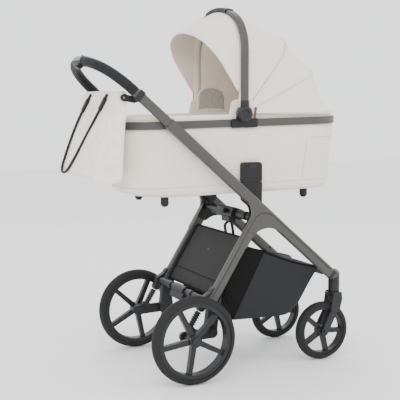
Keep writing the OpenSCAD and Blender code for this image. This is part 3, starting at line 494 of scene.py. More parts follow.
# CAD nodes keep their shapes and get materials
SLOT = {s["node"]: s["material_slot"] for s in frame["record"]["subparts"]}
for name, o in NODES.items():
    o.data.materials.clear()
    o.data.materials.append(MAT[SLOT[name]])
    o.data.polygons.foreach_set("use_smooth", [True] * len(o.data.polygons))
    weld = o.modifiers.new("weld", "WELD")
    weld.merge_threshold = 2e-5
    split = o.modifiers.new("edges", "EDGE_SPLIT")
    split.split_angle = math.radians(32)


# Hood
# how far an arch's corners turn before its flatter top
BAR_TURN = math.radians(65)


def arch(half_w, r, r0, reach, n):
    """n points [sideways, up] on an arch with straight legs, corners and a flatter top."""
    rt = (half_w - r + r * math.cos(BAR_TURN)) / math.cos(BAR_TURN)
    leg = reach - (r * math.sin(BAR_TURN) + rt * (1 - math.sin(BAR_TURN)))
    ct = leg + (r - rt) * math.sin(BAR_TURN)
    half = [(half_w, r0)]
    half += [(half_w - r + r * math.cos(a), leg + r * math.sin(a)) for a in np.linspace(0, BAR_TURN, 14)]
    half += [(rt * math.cos(a), ct + rt * math.sin(a)) for a in np.linspace(BAR_TURN, math.pi / 2, 12)[1:]]
    return even(half + [(-x, y) for x, y in half[-2::-1]], n)


HOOD_Y, HOOD_R, CLOTH_T, HOOD_FROM = 185.8, 125, 4, 30
# inner layer: outside and inside, and where it starts above the hubs
LINING_OUT, LINING_IN, LINING_FROM = 17.2, 18.4, 8
HUB_UP = HUB[1] + 0.5
BOW_REACH, BOW_STEP = 343.5, 13.4
# Bows: angle at the hub, reach, step ahead of the hub, and how the cloth hangs on the way to the next one
BOWS = [(-0.5, 406, 0, 9), (26, 363, 0, 9), (52, 338, 0, -2), (90, BOW_REACH, BOW_STEP, 0)]


def hood_rows(stations, n, inset, r0):
    """Rows of points over the bows, inset from the outside of the cloth, from r0 above the hubs."""
    rows = []
    for k in range(len(BOWS) - 1):
        (a0, l0, s0, sag), (a1, l1, s1, _) = BOWS[k], BOWS[k + 1]
        for t in np.linspace(0, 1, stations, endpoint=k == len(BOWS) - 2):
            a = a0 + (a1 - a0) * t
            slack = 4 * t * (1 - t)
            # between two bows the cloth runs straight, and hangs in a little
            straight = l0 * l1 * math.sin(math.radians(a1 - a0)) / (
                l0 * math.sin(math.radians(a - a0)) + l1 * math.sin(math.radians(a1 - a)))
            ar = math.radians(a)
            x = HUB[0] + s0 + (s1 - s0) * t ** 3
            line = arch(HOOD_Y - inset - 2.0 * slack, HOOD_R - inset, r0, straight - sag * slack - inset, n)
            rows.append([(x + u * math.cos(ar), y, HUB_UP + u * math.sin(ar)) for y, u in line])
    return rows


def share_by_angle(o):
    """Returns the piece as it is; gives its points no share of any blend."""
    return o


def hood_blend(o):
    """Bakes the cloth's transform into its mesh."""
    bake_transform(o)
    return share_by_angle(o)


def two_sided(name, outer, inner, mats, body=None):
    """Closed sheet between two grids of points; the second material is on the inside."""
    m, n = len(outer), len(outer[0])
    half = (m - 1) * (n - 1)
    pts = [at(*p) for r in outer + inner for p in r]
    return piece(name, pts, shell(m, n), mats, body, which=lambda p: int(half <= p.index < 2 * half))


ST, ACROSS = 13, 73
outer = hood_rows(ST, ACROSS, 0, HOOD_FROM)
canopy = two_sided("canopy_cloth", outer, hood_rows(ST, ACROSS, CLOTH_T, HOOD_FROM), ["cream_cloth", "lining"])
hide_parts("hood_canopy")
hood_blend(canopy)

# Lining that hides the bows from inside
inside = two_sided("hood_lining", hood_rows(ST, ACROSS, LINING_OUT, LINING_FROM),
                   hood_rows(ST, ACROSS, LINING_IN, LINING_FROM), ["lining", "lining"])
hood_blend(inside)


def hood_line(name, row, near, share, mat, wide=0.0015, trim=2):
    """Stitching beside a bow, a share of the way towards another row of the canopy."""
    path = []
    for p, q in list(zip(row, near))[trim:-trim]:
        v = Vector(p) + (Vector(q) - Vector(p)) * share
        path.append(at(*(v + Vector((v.x - HUB[0], 0.3 * v.y, v.z - HUB[1])).normalized() * 0.15)))
    return hood_blend(ribbon(name, path, wide, 0.0012, mat, None))


for tag, i, mat in (("middle", 2 * ST, "dark_thread"), ("front", ST, "thread")):
    hood_line(f"hood_seam_{tag}", outer[i], outer[i + 1], 0.1, mat)
    hood_line(f"hood_stitch_{tag}", outer[i], outer[i - 1], 0.45, "thread", 0.0011)
hood_line("hood_hem", outer[0], outer[1], 0.55, "thread", 0.0012)

# Arched net windows in both side walls
WINDOW_X, WINDOW_HALF, WINDOW_LOW, WINDOW_EDGE, WINDOW_RISE = 259.5, 51, 879, 921, 37
WINDOW_Y, WINDOW_NX, WINDOW_NZ = HOOD_Y - 21.2, 21, 15


def window_top(u):
    """Upper edge of a window; u runs from -1 to 1 along it."""
    return WINDOW_EDGE + WINDOW_RISE * math.sqrt(max(0, 1 - abs(u) ** 2.4))


rim_line = [(WINDOW_X + WINDOW_HALF * u, window_top(u)) for u in np.linspace(-1, 1, 41)]
rim_line = [(WINDOW_X - WINDOW_HALF, WINDOW_LOW)] + rim_line + [(WINDOW_X + WINDOW_HALF, WINDOW_LOW)]
for s, tag in SIDES:
    pts = []
    for u in np.linspace(-1, 1, WINDOW_NX):
        x, y = WINDOW_X + WINDOW_HALF * u, WINDOW_Y + 0.5 * math.cos(3 * u)
        pts += [at(x, s * y, z) for z in np.linspace(WINDOW_LOW, window_top(u), WINDOW_NZ)]
    window = piece(f"net_window_{tag}", pts, rows_faces(WINDOW_NX, WINDOW_NZ), "window_net")
    hood_blend(thicken(window, 0.0008))
    hood_blend(ribbon(f"net_binding_{tag}", even([flat(q, s * WINDOW_Y) for q in rim_line], 96, True), 0.006, 0.0024,
                      "lining", None, closed=True, sections=8, facing=(0, 1, 0)))

# Visor: from the carry bow to a bound free edge that leans out over the cot
VIS, VN = 15, 73
# free edge's foot and top, from the hub
FOOT, TOP, VISOR_FROM = np.array((-17.3, 72.0)), np.array((-147.0, 270.0)), 72


def visor_rows(inset):
    """Rows of points from the bow to the free edge, inset from the outside of the cloth."""
    way = unit(TOP - FOOT)
    bow = arch(HOOD_Y - inset, HOOD_R - inset, VISOR_FROM, BOW_REACH - inset, VN)
    edge = arch(HOOD_Y - inset, HOOD_R - inset, 0, np.linalg.norm(TOP - FOOT) - inset, VN)
    rows = []
    for t in np.linspace(0, 1, VIS):
        row = []
        for (yb, ub), (ye, ue) in zip(bow, edge):
            q = np.array((-BOW_STEP, ub)) * (1 - t) + (FOOT + way * ue) * t
            # a little dome between the bow and the edge
            q = q + np.array((-0.35, 0.94)) * 5 * t * (1 - t) * max(0, (q[1] - 150) / 200)
            row.append((HUB[0] + q[0], yb * (1 - t) + ye * t, HUB_UP + q[1]))
        rows.append(row)
    return rows


vo, vi = visor_rows(0), visor_rows(3)
visor = two_sided("visor_cloth", vo, vi, ["cream_cloth", "lining"], "carry_bow")
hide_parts("hood_visor")
edge = [at(*((np.array(a) + np.array(b)) / 2)) for a, b in zip(vo[-1], vi[-1])]
ribbon("visor_binding", even(edge, 110), 0.0052, 0.0052, "cream_cloth", "carry_bow", sections=8)
line = [at(*(np.array(a) * 0.12 + np.array(b) * 0.88 + (-0.1, 0, 0.15))) for a, b in zip(vo[-2], vo[-1])]
ribbon("visor_stitch", even(line, 110)[3:-3], 0.0012, 0.0012, "thread", "carry_bow")
# Cloth that runs on inside the carry bow, from the canopy to the visor
BAND_FROM, BAND_REACH, BAND_HALF = 10, 341, 14.5
band, band_in = ([[(HUB[0] + x, y, HUB[1] + u)
                   for y, u in arch(HOOD_Y - i, HOOD_R - i, BAND_FROM, BAND_REACH - i, VN)]
                  for x in (-BAND_HALF, 0, BAND_HALF)] for i in (1.5, 3.5))
band = two_sided("bow_band", band, band_in, ["cream_cloth", "lining"], "carry_bow")

# Cot
COT_X, COT_Z, TILT = 214, 838, math.radians(1.2)


def cot(x, y, z):
    """Point given in the cot's own tilted frame, which starts at the hubs' x and the middle of the rim."""
    return at(COT_X + x * math.cos(TILT) - z * math.sin(TILT), y, COT_Z + x * math.sin(TILT) + z * math.cos(TILT))


def plan(x0, x1, half_w, r, z, n=10):
    """Rounded rectangle seen from above."""
    out = []
    w = half_w - r
    for cx, cy, a0 in ((x0 + r, -w, 180), (x1 - r, -w, 270), (x1 - r, w, 0), (x0 + r, w, 90)):
        for i in range(n + 1):
            a = math.radians(a0 + 90 * i / n)
            out.append((cx + r * math.cos(a), cy + r * math.sin(a), z))
    return out


# tub: ends, half width and corners at the rim; height, half the rim's height, draw-in, bottom edge, wall, and how much
# more the head end turns in
TUB_X0, TUB_X1, TUB_Y, TUB_R = -394, 406, 176, 125
TUB_H, RIM, DRAW, EDGE, WALL, REAR = 226, 12, 18, 24, 8, 3
BOTTOM = -RIM - TUB_H


def drawn(z):
    """How far the wall is drawn in at a height below the rim."""
    return DRAW * min(1, (-RIM - z) / TUB_H)


def tub_row(z, inset, rear, wall=0.0):
    """Outline of the tub's wall at a height; at the head end the inset counts rear times more."""
    d = drawn(z) + inset + wall
    return plan(TUB_X0 + d + inset * rear, TUB_X1 - d, TUB_Y - d, TUB_R - 0.5 * d, z)


def lip_row(z, inset):
    """Outline of the cloth at the rim."""
    return plan(TUB_X0 + inset, TUB_X1 - inset, TUB_Y - inset, TUB_R - inset, z)


def loft(rows, n):
    """Points and faces of a closed shape through outlines in the cot's frame, n points on each."""
    pts = [cot(*p) for r in rows for p in even(r, n, True)]
    return pts, rows_faces(len(rows), n, True) + ends(len(rows), n)


def turn_in(z, wall, start, stop, n):
    """Outlines round the bottom edge."""
    return [tub_row(z + EDGE * (1 - math.cos(a)), EDGE * (1 - math.sin(a)), REAR, wall)
            for a in np.linspace(start, stop, n)]


TUB_N = 220
# cloth round the rim: height and inset
LIP = ((-RIM - 1.2, 0.2), (-RIM - 0.4, 3), (-RIM - 0.4, 5.6), (RIM + 2, 5.6), (RIM + 11, 5.0), (RIM + 15.5, 6.6),
       (RIM + 17, 9.5), (RIM + 15.5, 12.6), (RIM + 10, 14))
rows = [tub_row(BOTTOM + 0.2, EDGE + 60, REAR), tub_row(BOTTOM, EDGE + 20, REAR)]
rows += turn_in(BOTTOM, 0.0, 0, math.pi / 2, 8)
rows += [tub_row(z, 0, 0) for z in np.linspace(BOTTOM + 40, -RIM - 22, 9)]
rows += [lip_row(z, i) for z, i in LIP]
lining_from = (len(rows) - 1) * TUB_N
rows += [tub_row(z, 0, 0, WALL + 1) for z in np.linspace(-RIM - 20, BOTTOM + 60, 7)]
rows += turn_in(BOTTOM + WALL, WALL, math.pi / 2.4, 0, 4)
# the first of the two end faces is the bottom, outside
bottom_face = (len(rows) - 1) * TUB_N
tub = piece("cot_cloth", *loft(rows, TUB_N), ["cream_cloth", "lining"], "cot",
            which=lambda p: int(p.index >= lining_from and p.index != bottom_face))
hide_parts("cot_tub")


def tub_side(x, z, lift):
    """Point on the tub's right-hand outer wall, in the cot's frame."""
    return cot(x, -(TUB_Y - drawn(z)) - lift, z)


# Mattress: a crowned pad, blown up by a short cloth run
PAD_LOW, PAD_N = BOTTOM + WALL + 0.6, 160
# height above the tub's floor, and inset
PAD = ((0, 18), (4, 10), (12, 7), (26, 8), (32, 14), (35, 28), (36, 60), (36.4, 110))
PUFF_FRAMES = 20


def puff(o, voxel, pressure, cap):
    """Blows a closed soft piece up a little with Blender's cloth, and keeps each point within cap of its start."""
    o.data.remesh_voxel_size = voxel
    bpy.context.view_layer.objects.active = o
    o.select_set(True)
    bpy.ops.object.voxel_remesh()
    start = np.array([v.co for v in o.data.vertices], float)
    c = o.modifiers.new("cloth", "CLOTH")
    c.settings.use_pressure = True
    c.settings.uniform_pressure_force = pressure
    c.settings.quality = 4
    c.settings.tension_stiffness = 12
    c.settings.compression_stiffness = 12
    c.settings.effector_weights.gravity = 0
    c.point_cache.frame_start, c.point_cache.frame_end = 1, PUFF_FRAMES
    for f in range(1, PUFF_FRAMES + 1):
        bpy.context.scene.frame_set(f)
    settle(o)
    bpy.context.scene.frame_set(1)
    move = np.array([v.co for v in o.data.vertices], float) - start
    size = np.linalg.norm(move, axis=1, keepdims=True)
    now = start + move * np.minimum(1, cap / np.maximum(size, 1e-9))
    o.data.vertices.foreach_set("co", now.ravel())
    o.data.polygons.foreach_set("use_smooth", [True] * len(o.data.polygons))
    o.select_set(False)
    return o


rows = [tub_row(PAD_LOW + h, EDGE, REAR, WALL + i) for h, i in PAD]
mattress = puff(piece("mattress_pad", *loft(rows, PAD_N), "cream_cloth"), 0.006, 4, 0.004)
if not mattress.data.materials:
    mattress.data.materials.append(MAT["cream_cloth"])
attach(mattress, "cot")
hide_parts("mattress")

# Bag
BAG_TOP, BAG_H, BAG_D, BAG_Y, BAG_N = np.array((-188.0, 938.0)), 290, 105, 171, 96
bag_low = BAG_TOP + (-20, -BAG_H)
bag_back = bag_low + BAG_D * np.array((-0.985, 0.175))
bag_rear_top = BAG_TOP + (-26, 5)
bag_line = rounded_outline([(BAG_TOP, 11), (bag_rear_top, 12), (bag_back, 20), (bag_low, 20)])
side_line = even(bag_line, BAG_N, True)
centre = side_line.mean(0)
SWELL, SWELL_DEPTH = 2.2, 285


def bag_ring(y, inset):
    """Outline of the bag at y, swollen towards the middle."""
    full = SWELL * (1 - (y / (BAG_Y + 1)) ** 2)
    out = []
    for p in side_line:
        depth = min(1, max(0, (BAG_TOP[1] - p[1]) / SWELL_DEPTH))
        swell = full * (0.4 + 0.6 * math.sin(math.pi * depth))
        out.append(flat(p + unit(p - centre) * (swell - inset), y))
    return out


def bag_cap(ring, s):
    """Rings that close an end of the bag, a little hollow."""
    base = np.array([tuple(p) for p in ring])
    mid = base.mean(0)
    caps = []
    for f, hollow in ((0.8, 0.0), (0.55, 0.0012), (0.3, 0.002), (0.08, 0.0022)):
        q = mid + (base - mid) * f
        q[:, 1] = base[:, 1] - s * hollow
        caps.append(list(q))
    return caps


# rounded ends: distance from the end and inset
BAG_ENDS, PIPING_Y, PIPING_IN = ((0, 9), (0.4, 6), (2, 2.8), (5, 0.9), (9, 0)), 168.4, 2.2
stations = [(d - BAG_Y, i) for d, i in BAG_ENDS] + [(y, 0) for y in np.linspace(-152, 152, 21)]
stations += [(BAG_Y - d, i) for d, i in reversed(BAG_ENDS)]
rings = [bag_ring(y, i) for y, i in stations]
rings = bag_cap(rings[0], -1)[::-1] + rings + bag_cap(rings[-1], 1)
bag = piece("bag_shell", [p for r in rings for p in r], rows_faces(len(rings), BAG_N, True) + ends(len(rings), BAG_N),
            "bag_cloth", "bag")
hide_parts("bag_body")
piping = [p - unit(p - centre) * PIPING_IN for p in side_line]
for s, tag in SIDES:
    line = [flat(q, s * PIPING_Y) for q in piping]
    ribbon(f"bag_piping_{tag}", line, 0.0042, 0.0042, "bag_cloth", "bag", closed=True, sections=8)

# Shoulder strap: a loop over the bag's rear face
face_d = unit(bag_back - bag_rear_top)
face_out = np.array((face_d[1], -face_d[0]))
# sideways and down along the face
STRAP = [(86, 14), (96, 34), (114, 64), (132, 104), (145, 150), (150, 200), (150, 246), (146, 272), (133, 286),
         (119, 290), (103, 290), (86, 286), (68, 272), (44, 240), (18, 196), (-8, 150), (-34, 108), (-58, 66),
         (-74, 34), (-82, 14)]
STRAP_D, STRAP_OUT = 0.009, 5.2
strap_path = along([flat(bag_rear_top + face_d * d + face_out * STRAP_OUT, y) for y, d in STRAP], 90)
strap = ribbon("bag_strap", strap_path, STRAP_D, 0.0088, "webbing", "bag", sections=10)
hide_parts("bag_straps")

# Basket
PIV, LEG = np.array((255.0, 520.0)), math.radians(58.4)
leg_dir, leg_front = -polar(LEG), np.array((math.sin(LEG), -math.cos(LEG)))


def on_leg(s, t):
    """Side view: s down the rear leg from the pivot, t ahead of its middle."""
    return PIV + leg_dir * s + leg_front * t


BASKET_Y, WALL_N, STRIP_N = 185.2, 12, 7
FLOOR = [(178, 178), (250, 176.6), (330, 176.6), (383, 178), (412, 196), (434, 219), (470, 276), (504, 331)]
floor_line = along(FLOOR, 34)
# top edge: at the leg, at the strip's seam and at the front; low end of the seam
TOP_A, TOP_B, TOP_C = on_leg(100, 16), np.array((295.0, 400.6)), np.array((505.0, 334.0))
LOW_A = np.array((178.0, 178.0))
rear_line = even([TOP_A, on_leg(180, 16), on_leg(251, 16), (150, 250), LOW_A], WALL_N)


def basket_wall(q, j, t, s):
    """Side wall's point, hanging in a little: j runs from the top edge to the floor, t from the strip to the front."""
    hang = math.sin(math.pi * j) * math.sin(math.pi * min(1, t))
    folds = 0.9 * math.sin(9 * t + 2.5 * j) * math.sin(math.pi * j)
    return (q[0], s * (BASKET_Y - 3.5 * hang - folds * 0.6 - 4.5 * max(0, (j - 0.9) / 0.1) ** 2), q[1])


rows = []
for i, f in enumerate(floor_line):
    t = i / (len(floor_line) - 1)
    top = TOP_B + (TOP_C - TOP_B) * t + np.array((0, -6 * math.sin(math.pi * t)))
    side = [[basket_wall(top + (f - top) * j, j, t, s) for j in np.linspace(0, 1, WALL_N)] for s in (-1, 1)]
    rows.append(side[0] + [(f[0], y, f[1]) for y in np.linspace(-166, 166, 15)] + side[1][::-1])
pts = [at(*p) for r in rows for p in r]
faces = rows_faces(len(rows), len(rows[0]))
for s in (-1, 1):
    faces += rows_faces(STRIP_N, WALL_N, start=len(pts))
    for k in range(STRIP_N):
        for i, j in enumerate(np.linspace(0, 1, WALL_N)):
            q = rear_line[i] + (TOP_B + (LOW_A - TOP_B) * j - rear_line[i]) * k / (STRIP_N - 1)
            pts.append(at(*basket_wall(q, j, 0, s)))
basket = piece("basket_cloth", pts, faces, ["basket_cloth", "basket_strip"])
pick = []
for p in basket.data.polygons:
    x, z = p.center.x * 1000 + X_MID, p.center.z * 1000
    behind = (x - LOW_A[0]) * (TOP_B[1] - LOW_A[1]) - (z - LOW_A[1]) * (TOP_B[0] - LOW_A[0]) < 0
    pick.append(1 if behind and abs(p.center.y) > 0.17 else 0)
basket.data.polygons.foreach_set("material_index", pick)
thicken(basket, 0.0022, offset=0)
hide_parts("basket")


def with_basket(o):
    """Bakes the basket piece's transform into its mesh."""
    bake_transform(o)
    return share_by_angle(o)


with_basket(basket)
for s, tag in SIDES:
    hem = [at(*basket_wall(TOP_A + (TOP_B - TOP_A) * k / 8, 0, 0, s)) for k in range(8)]
    hem += [at(*r[0 if s < 0 else -1]) for r in rows]
    with_basket(ribbon(f"basket_hem_{tag}", even(hem, 60), 0.007, 0.0042, "basket_strip", None, side=(0, 0, 1),
                       sections=8))
    seam = [basket_wall(TOP_B + (LOW_A - TOP_B) * j, j, 0, s) for j in np.linspace(0, 1, 30)]
    line = [at(x, y + s * 1.4, z) for x, y, z in seam]
    with_basket(ribbon(f"strip_seam_{tag}", line, 0.0016, 0.0012, "basket_cloth", None))

# Rear panel in the plane of the rear legs
PANEL_TOP, PANEL_END, PANEL_Y, PANEL_N, PANEL_M = 76, 298, 185.0, 25, 21
PANEL_UP = (leg_dir[0], 0, leg_dir[1])
pts = []
for v in np.linspace(0, 1, PANEL_M):
    fold = 1.8 * math.exp(-((v - 0.78) / 0.02) ** 2)
    for u in np.linspace(-1, 1, PANEL_N):
        belly = 1.5 * math.cos(u * math.pi / 2) * math.sin(math.pi * v)
        pts.append(flat(on_leg(PANEL_TOP + (PANEL_END - PANEL_TOP) * v, fold - belly), u * PANEL_Y))
panel = piece("rear_panel_cloth", pts, rows_faces(PANEL_M, PANEL_N), "basket_cloth")
thicken(panel, 0.0024, offset=0)
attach(panel, "rear_legs")
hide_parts("basket_rear_panel")
for tag, d in (("top", PANEL_TOP + 1), ("bottom", PANEL_END - 1)):
    ribbon(f"rear_panel_hem_{tag}", [flat(on_leg(d, 0), y) for y in np.linspace(-184.6, 184.6, 30)], 0.008, 0.0042,
           "basket_strip", "rear_legs", side=PANEL_UP, sections=8)

# Webbing loop under the fold latch: two half circles and the straight runs between them
high, low, LOOP_R = PIV + (-4, -49.3), PIV + (2, -88), 14.2
d = unit(low - high)
across = np.array((-d[1], d[0]))
half = np.linspace(0, math.pi, 18)
loop = [high + LOOP_R * (across * math.cos(k) - d * math.sin(k)) for k in half]
loop += [low + LOOP_R * (-across * math.cos(k) + d * math.sin(k)) for k in half]
fold_loop = ribbon("fold_loop", [flat(q, 0) for q in even(loop, 72, True)], 0.021, 0.0032, "webbing", "chassis",
                   side=(0, 1, 0), closed=True, sections=12)
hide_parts("fold_strap")

# Junction castings and small parts
TUBE, PIVOT_DROP = math.radians(41), 36
tube_dir, tube_up = polar(-TUBE), np.array((math.sin(TUBE), math.cos(TUBE)))


def on_tube(s, t):
    """Side view: s forward along the long tube from the pivot, t above its middle."""
    return PIV + tube_dir * s + tube_up * (PIVOT_DROP + t)


# Skin that makes the junction of tubes and leg one smooth casting, split on the round seam of the folding leg
HALF, FAR = 18, 400
# wide arch in front, tight nook behind; ends of the casting on the leg and on the tube
ARCH_R, NOOK_R, CAST_LEG, CAST_REAR, CAST_FRONT = 72, 50, 104, -72, 108


def fillet(tube_end, leg_side, r):
    """Arc between the tube's lower edge and an edge of the leg."""
    bend = meet(on_tube(0, -HALF), tube_dir, on_leg(0, leg_side), leg_dir)
    return corner(on_tube(tube_end, -HALF), bend, on_leg(FAR, leg_side), r, 20)


outline = fillet(FAR, HALF, ARCH_R) + [on_leg(CAST_LEG, HALF), on_leg(CAST_LEG, -HALF)]
outline += fillet(-FAR, -HALF, NOOK_R)[::-1] + [on_tube(CAST_REAR, -HALF), on_tube(CAST_REAR, -HALF / 2)]
outline += [on_tube(CAST_FRONT, -HALF / 2), on_tube(CAST_FRONT, -HALF)]


def reach(angle):
    """Distance from the pivot to the casting's outline."""
    d = polar(angle)
    best = 1e9
    for a, b in zip(outline, outline[1:] + outline[:1]):
        e = b - a
        det = d[0] * -e[1] + e[0] * d[1]
        if abs(det) < 1e-9:
            continue
        q = a - PIV
        k, m = (q[0] * -e[1] + e[0] * q[1]) / det, (d[0] * q[1] - d[1] * q[0]) / det
        if k > 0 and -1e-9 <= m <= 1 + 1e-9:
            best = min(best, k)
    return best


def casting(name, angles, inner, outer, y0, y1, mat, body, around):
    """Plate with a softened edge between two lines around the pivot, from y0 on the web to y1 outside."""
    step = 1 if y1 > y0 else -1
    pts = []
    for a, lo, hi in zip(angles, inner, outer):
        d = polar(a)
        soft, below = min(0.8, (hi - lo) / 3), y1 - 0.7 * step
        run = [(lo, y0), (lo, below), (lo + soft, y1)] + [(lo + (hi - lo) * f, y1) for f in (0.35, 0.65)]
        run += [(hi - soft, y1), (hi, below), (hi, y0)]
        pts += [flat(PIV + d * r, y) for r, y in run]
    n = len(run)
    faces = rows_faces(len(angles), n)
    if around:
        m = (len(angles) - 1) * n
        faces += [(m + i, m + i + 1, i + 1, i) for i in range(n - 1)]
    return crisp(piece(name, pts, faces, mat, body))


# round seam of the folding leg, and the gap outside it
SEAM_R, SEAM_OUT, SEAM_FROM = 52, 52.6, 12
WEB_Y, SKIN_Y, GROOVE_Y = 207.4, 210.12, 210.2
# plastic cover on the inner side
COVER_IN, COVER_OUT, INNER_WEB_Y, COVER_Y = 13.5, 74, 186.2, 183.2
turns = np.linspace(0, 2 * math.pi, 361)[:-1]
spans = np.array([reach(a) for a in turns])
legward = np.array([polar(a) @ leg_dir for a in turns])
in_leg = (legward * np.minimum(spans, SEAM_R) > SEAM_FROM) & (spans > SEAM_R)
fixed = np.where(in_leg, SEAM_R, spans)
in_leg &= spans > SEAM_OUT + 1.4
# painted shade of the groove along the leg, round the junction and along the tube: a thin black strip on the face
# stands in for the shade in the groove
GROOVE_OFF, GROOVE_R = 8, 49
start, end = on_leg(300, -GROOVE_OFF), on_tube(345, GROOVE_OFF)
bend = meet(on_leg(0, -GROOVE_OFF), leg_dir, on_tube(0, GROOVE_OFF), tube_dir)
groove_shade = even([start] + corner(start, bend, end, GROOVE_R, 24) + [end], 240)
off = groove_shade - PIV
moving = (np.linalg.norm(off, axis=1) > SEAM_OUT) & (off @ leg_dir > SEAM_FROM) & (off @ leg_front < 60)
for s, tag in SIDES:
    casting(f"junction_skin_{tag}", turns, [1.0] * len(turns), fixed, s * WEB_Y, s * SKIN_Y, "frame_metal", "chassis",
            True)
    casting(f"leg_skin_{tag}", turns[in_leg], [SEAM_OUT] * sum(in_leg), spans[in_leg], s * WEB_Y, s * SKIN_Y,
            "frame_metal", "rear_legs", False)
    casting(f"junction_cover_{tag}", turns, [COVER_IN] * len(turns), np.minimum(fixed, COVER_OUT), s * INNER_WEB_Y,
            s * COVER_Y, "black_plastic", "chassis", True)
    for body, part, keep in (("rear_legs", "leg", moving), ("chassis", "tube", ~moving)):
        line = [flat(q, s * GROOVE_Y) for q in groove_shade[keep]]
        # thin black strip: painted shade of the groove, not a part of its own
        ribbon(f"groove_{part}_{tag}", line, 0.0019, 0.0005, "black_plastic", body, facing=(0, 1, 0))

# Hub caps and sleeves on the carry bow, pivot guards and tabs
HUB_CAP = [(11.6, 0), (11.6, 2.2), (12.4, 3.4), (15, 4.4), (19, 4.2), (23, 3.0), (25.6, 1.0), (26.1, -1), (26.1, -9)]
GUARD_X, GUARD_HALF, GUARD_LOW, GUARD_MID, GUARD_RISE, GUARD_Y = HUB[0] - 1, 41, 861, 872, 42, 166.2
GUARD_N, GUARD_M = 13, 7
TAB_TOP, TAB_RUN, TAB_Y = (258.6, 889.7), (-5.3, -36.2), 187.6
for s, tag in SIDES:
    turned(f"hub_cap_{tag}", (HUB[0], s * 201.3, HUB[1]), (0, s, 0), HUB_CAP, "dark_plastic", "carry_bow", 48)
    ribbon(f"bow_sleeve_{tag}", [at(HUB[0], s * 193.8, HUB[1] + h) for h in (22, 26, 34, 42, 43.2)], 0.0286, 0.0162,
           "dark_plastic", "carry_bow", side=(1, 0, 0), sections=28)
    # cloth guard over the pivot inside the hood
    pts = []
    for u in np.linspace(-1, 1, GUARD_N):
        top = GUARD_MID + GUARD_RISE * math.sqrt(max(0, 1 - abs(u) ** 5))
        pts += [at(GUARD_X + GUARD_HALF * u, s * GUARD_Y, z) for z in np.linspace(GUARD_LOW, top, GUARD_M)]
    guard = thicken(piece(f"pivot_guard_{tag}", pts, rows_faces(GUARD_N, GUARD_M), "lining"), 0.0016)
    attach(guard, "cot")
    # leather tab from the hood's edge to the rim
    line = [at(TAB_TOP[0] + TAB_RUN[0] * k, s * (TAB_Y + 0.6 * math.sin(math.pi * k)), TAB_TOP[1] + TAB_RUN[1] * k)
            for k in np.linspace(0, 1, 9)]
    hood_blend(ribbon(f"hood_tab_{tag}", line, 0.0085, 0.0018, "tab_leather", None, side=(1, 0, 0), sections=12))

# Coil springs, and the dampers inside them: a body on the leg, a rod on the swing arm and a boot that hides the rod
low, high = np.array((13.0, 172.0)), np.array((44.0, 222.0))
rise = unit(high - low)
across = np.array((rise[1], -rise[0]))
AXIS = (rise[0], 0, rise[1])
SPRING_Y, COIL_R, COIL_LOW, COIL_LEN, COIL_TURNS = 198, 10.4, 1.24, 57.8, 7
BOOT_R, BOOT_MID, SQUASH_KEEP = 8.33, 30.1, 0.8
DAMPER_BODY = [(0.1, -1), (7.6, -1), (8.1, 0), (8.1, 33), (7.2, 34.5), (4.4, 34.8), (0.1, 34.8)]
DAMPER_ROD = [(0.1, -1), (5.2, -1), (5.2, 4), (3.2, 6), (3.2, 10), (0.1, 10)]
for s, tag in SIDES:
    for name, q, sign, body, profile in (("damper_body", high, -1, "rear_legs", DAMPER_BODY),
                                         ("damper_rod", low, 1, f"swing_arm_{tag}", DAMPER_ROD)):
        turned(f"{name}_{tag}", (q[0], s * SPRING_Y, q[1]), [sign * v for v in AXIS], profile, "black_plastic", body)
    coil = []
    for k in np.linspace(0, 1, 170):
        a = 2 * math.pi * (COIL_TURNS * k + 0.25)
        q = low + rise * (COIL_LOW + COIL_LEN * k) + across * COIL_R * math.cos(a)
        coil.append(flat(q, s * (SPRING_Y - COIL_R * math.sin(a))))
    spring = ribbon(f"coil_spring_{tag}", coil, 0.0037, 0.0037, "spring_steel", "rear_legs", sections=8)
    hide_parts(f"rear_spring_{tag}")
    ring = [flat(low + rise * BOOT_MID + across * BOOT_R * math.cos(a), s * (SPRING_Y + BOOT_R * math.sin(a)))
            for a in np.linspace(0, 2 * math.pi, 41)[:-1]]
    boot = ribbon(f"damper_boot_{tag}", ring, 0.055, 0.00024, "black_plastic", "rear_legs", side=AXIS, closed=True,
                  sections=10)
    for o in (spring, boot):
        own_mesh(o)

# Rear panel: bound sides, a folded-over lower part and its snap; snaps on the front legs
for s, tag in SIDES:
    line = [flat(on_leg(d, -0.4), s * 179.4) for d in np.linspace(PANEL_TOP + 3, PANEL_END - 3, 30)]
    ribbon(f"rear_panel_side_{tag}", line, 0.0105, 0.0036, "basket_strip", "rear_legs", side=(0, 1, 0), sections=10)
ribbon("rear_panel_fold", [flat(on_leg(247, -2.2), y) for y in np.linspace(-173, 173, 40)], 0.0024, 0.0018,
       "basket_strip", "rear_legs", side=PANEL_UP, sections=8)
SNAP = [(0.1, -0.6), (4.6, -0.6), (4.8, 0.4), (4.2, 1.3), (2.6, 1.7), (2.2, 1.4), (0.1, 1.4)]
q = on_leg(152, -2.4)
turned("rear_panel_snap", (q[0], 0, q[1]), (-leg_front[0], 0, -leg_front[1]), SNAP, "spring_steel", "rear_legs")
FRONT_SNAPS = ((520.8, 349.5), (553.6, 321.5))
for i, (x, z) in enumerate(FRONT_SNAPS):
    for s, tag in SIDES:
        turned(f"basket_snap_{i}_{tag}", (x, s * 186, z), (0, -s, 0), SNAP, "black_plastic", "chassis")

# Buckles on the bag's strap
for tag, k in (("left", 6), ("right", 84)):
    ribbon(f"strap_buckle_{tag}", strap_path[k - 3:k + 4], 0.0205, 0.0112, "black_plastic", "bag", side=(0, 1, 0),
           sections=20)

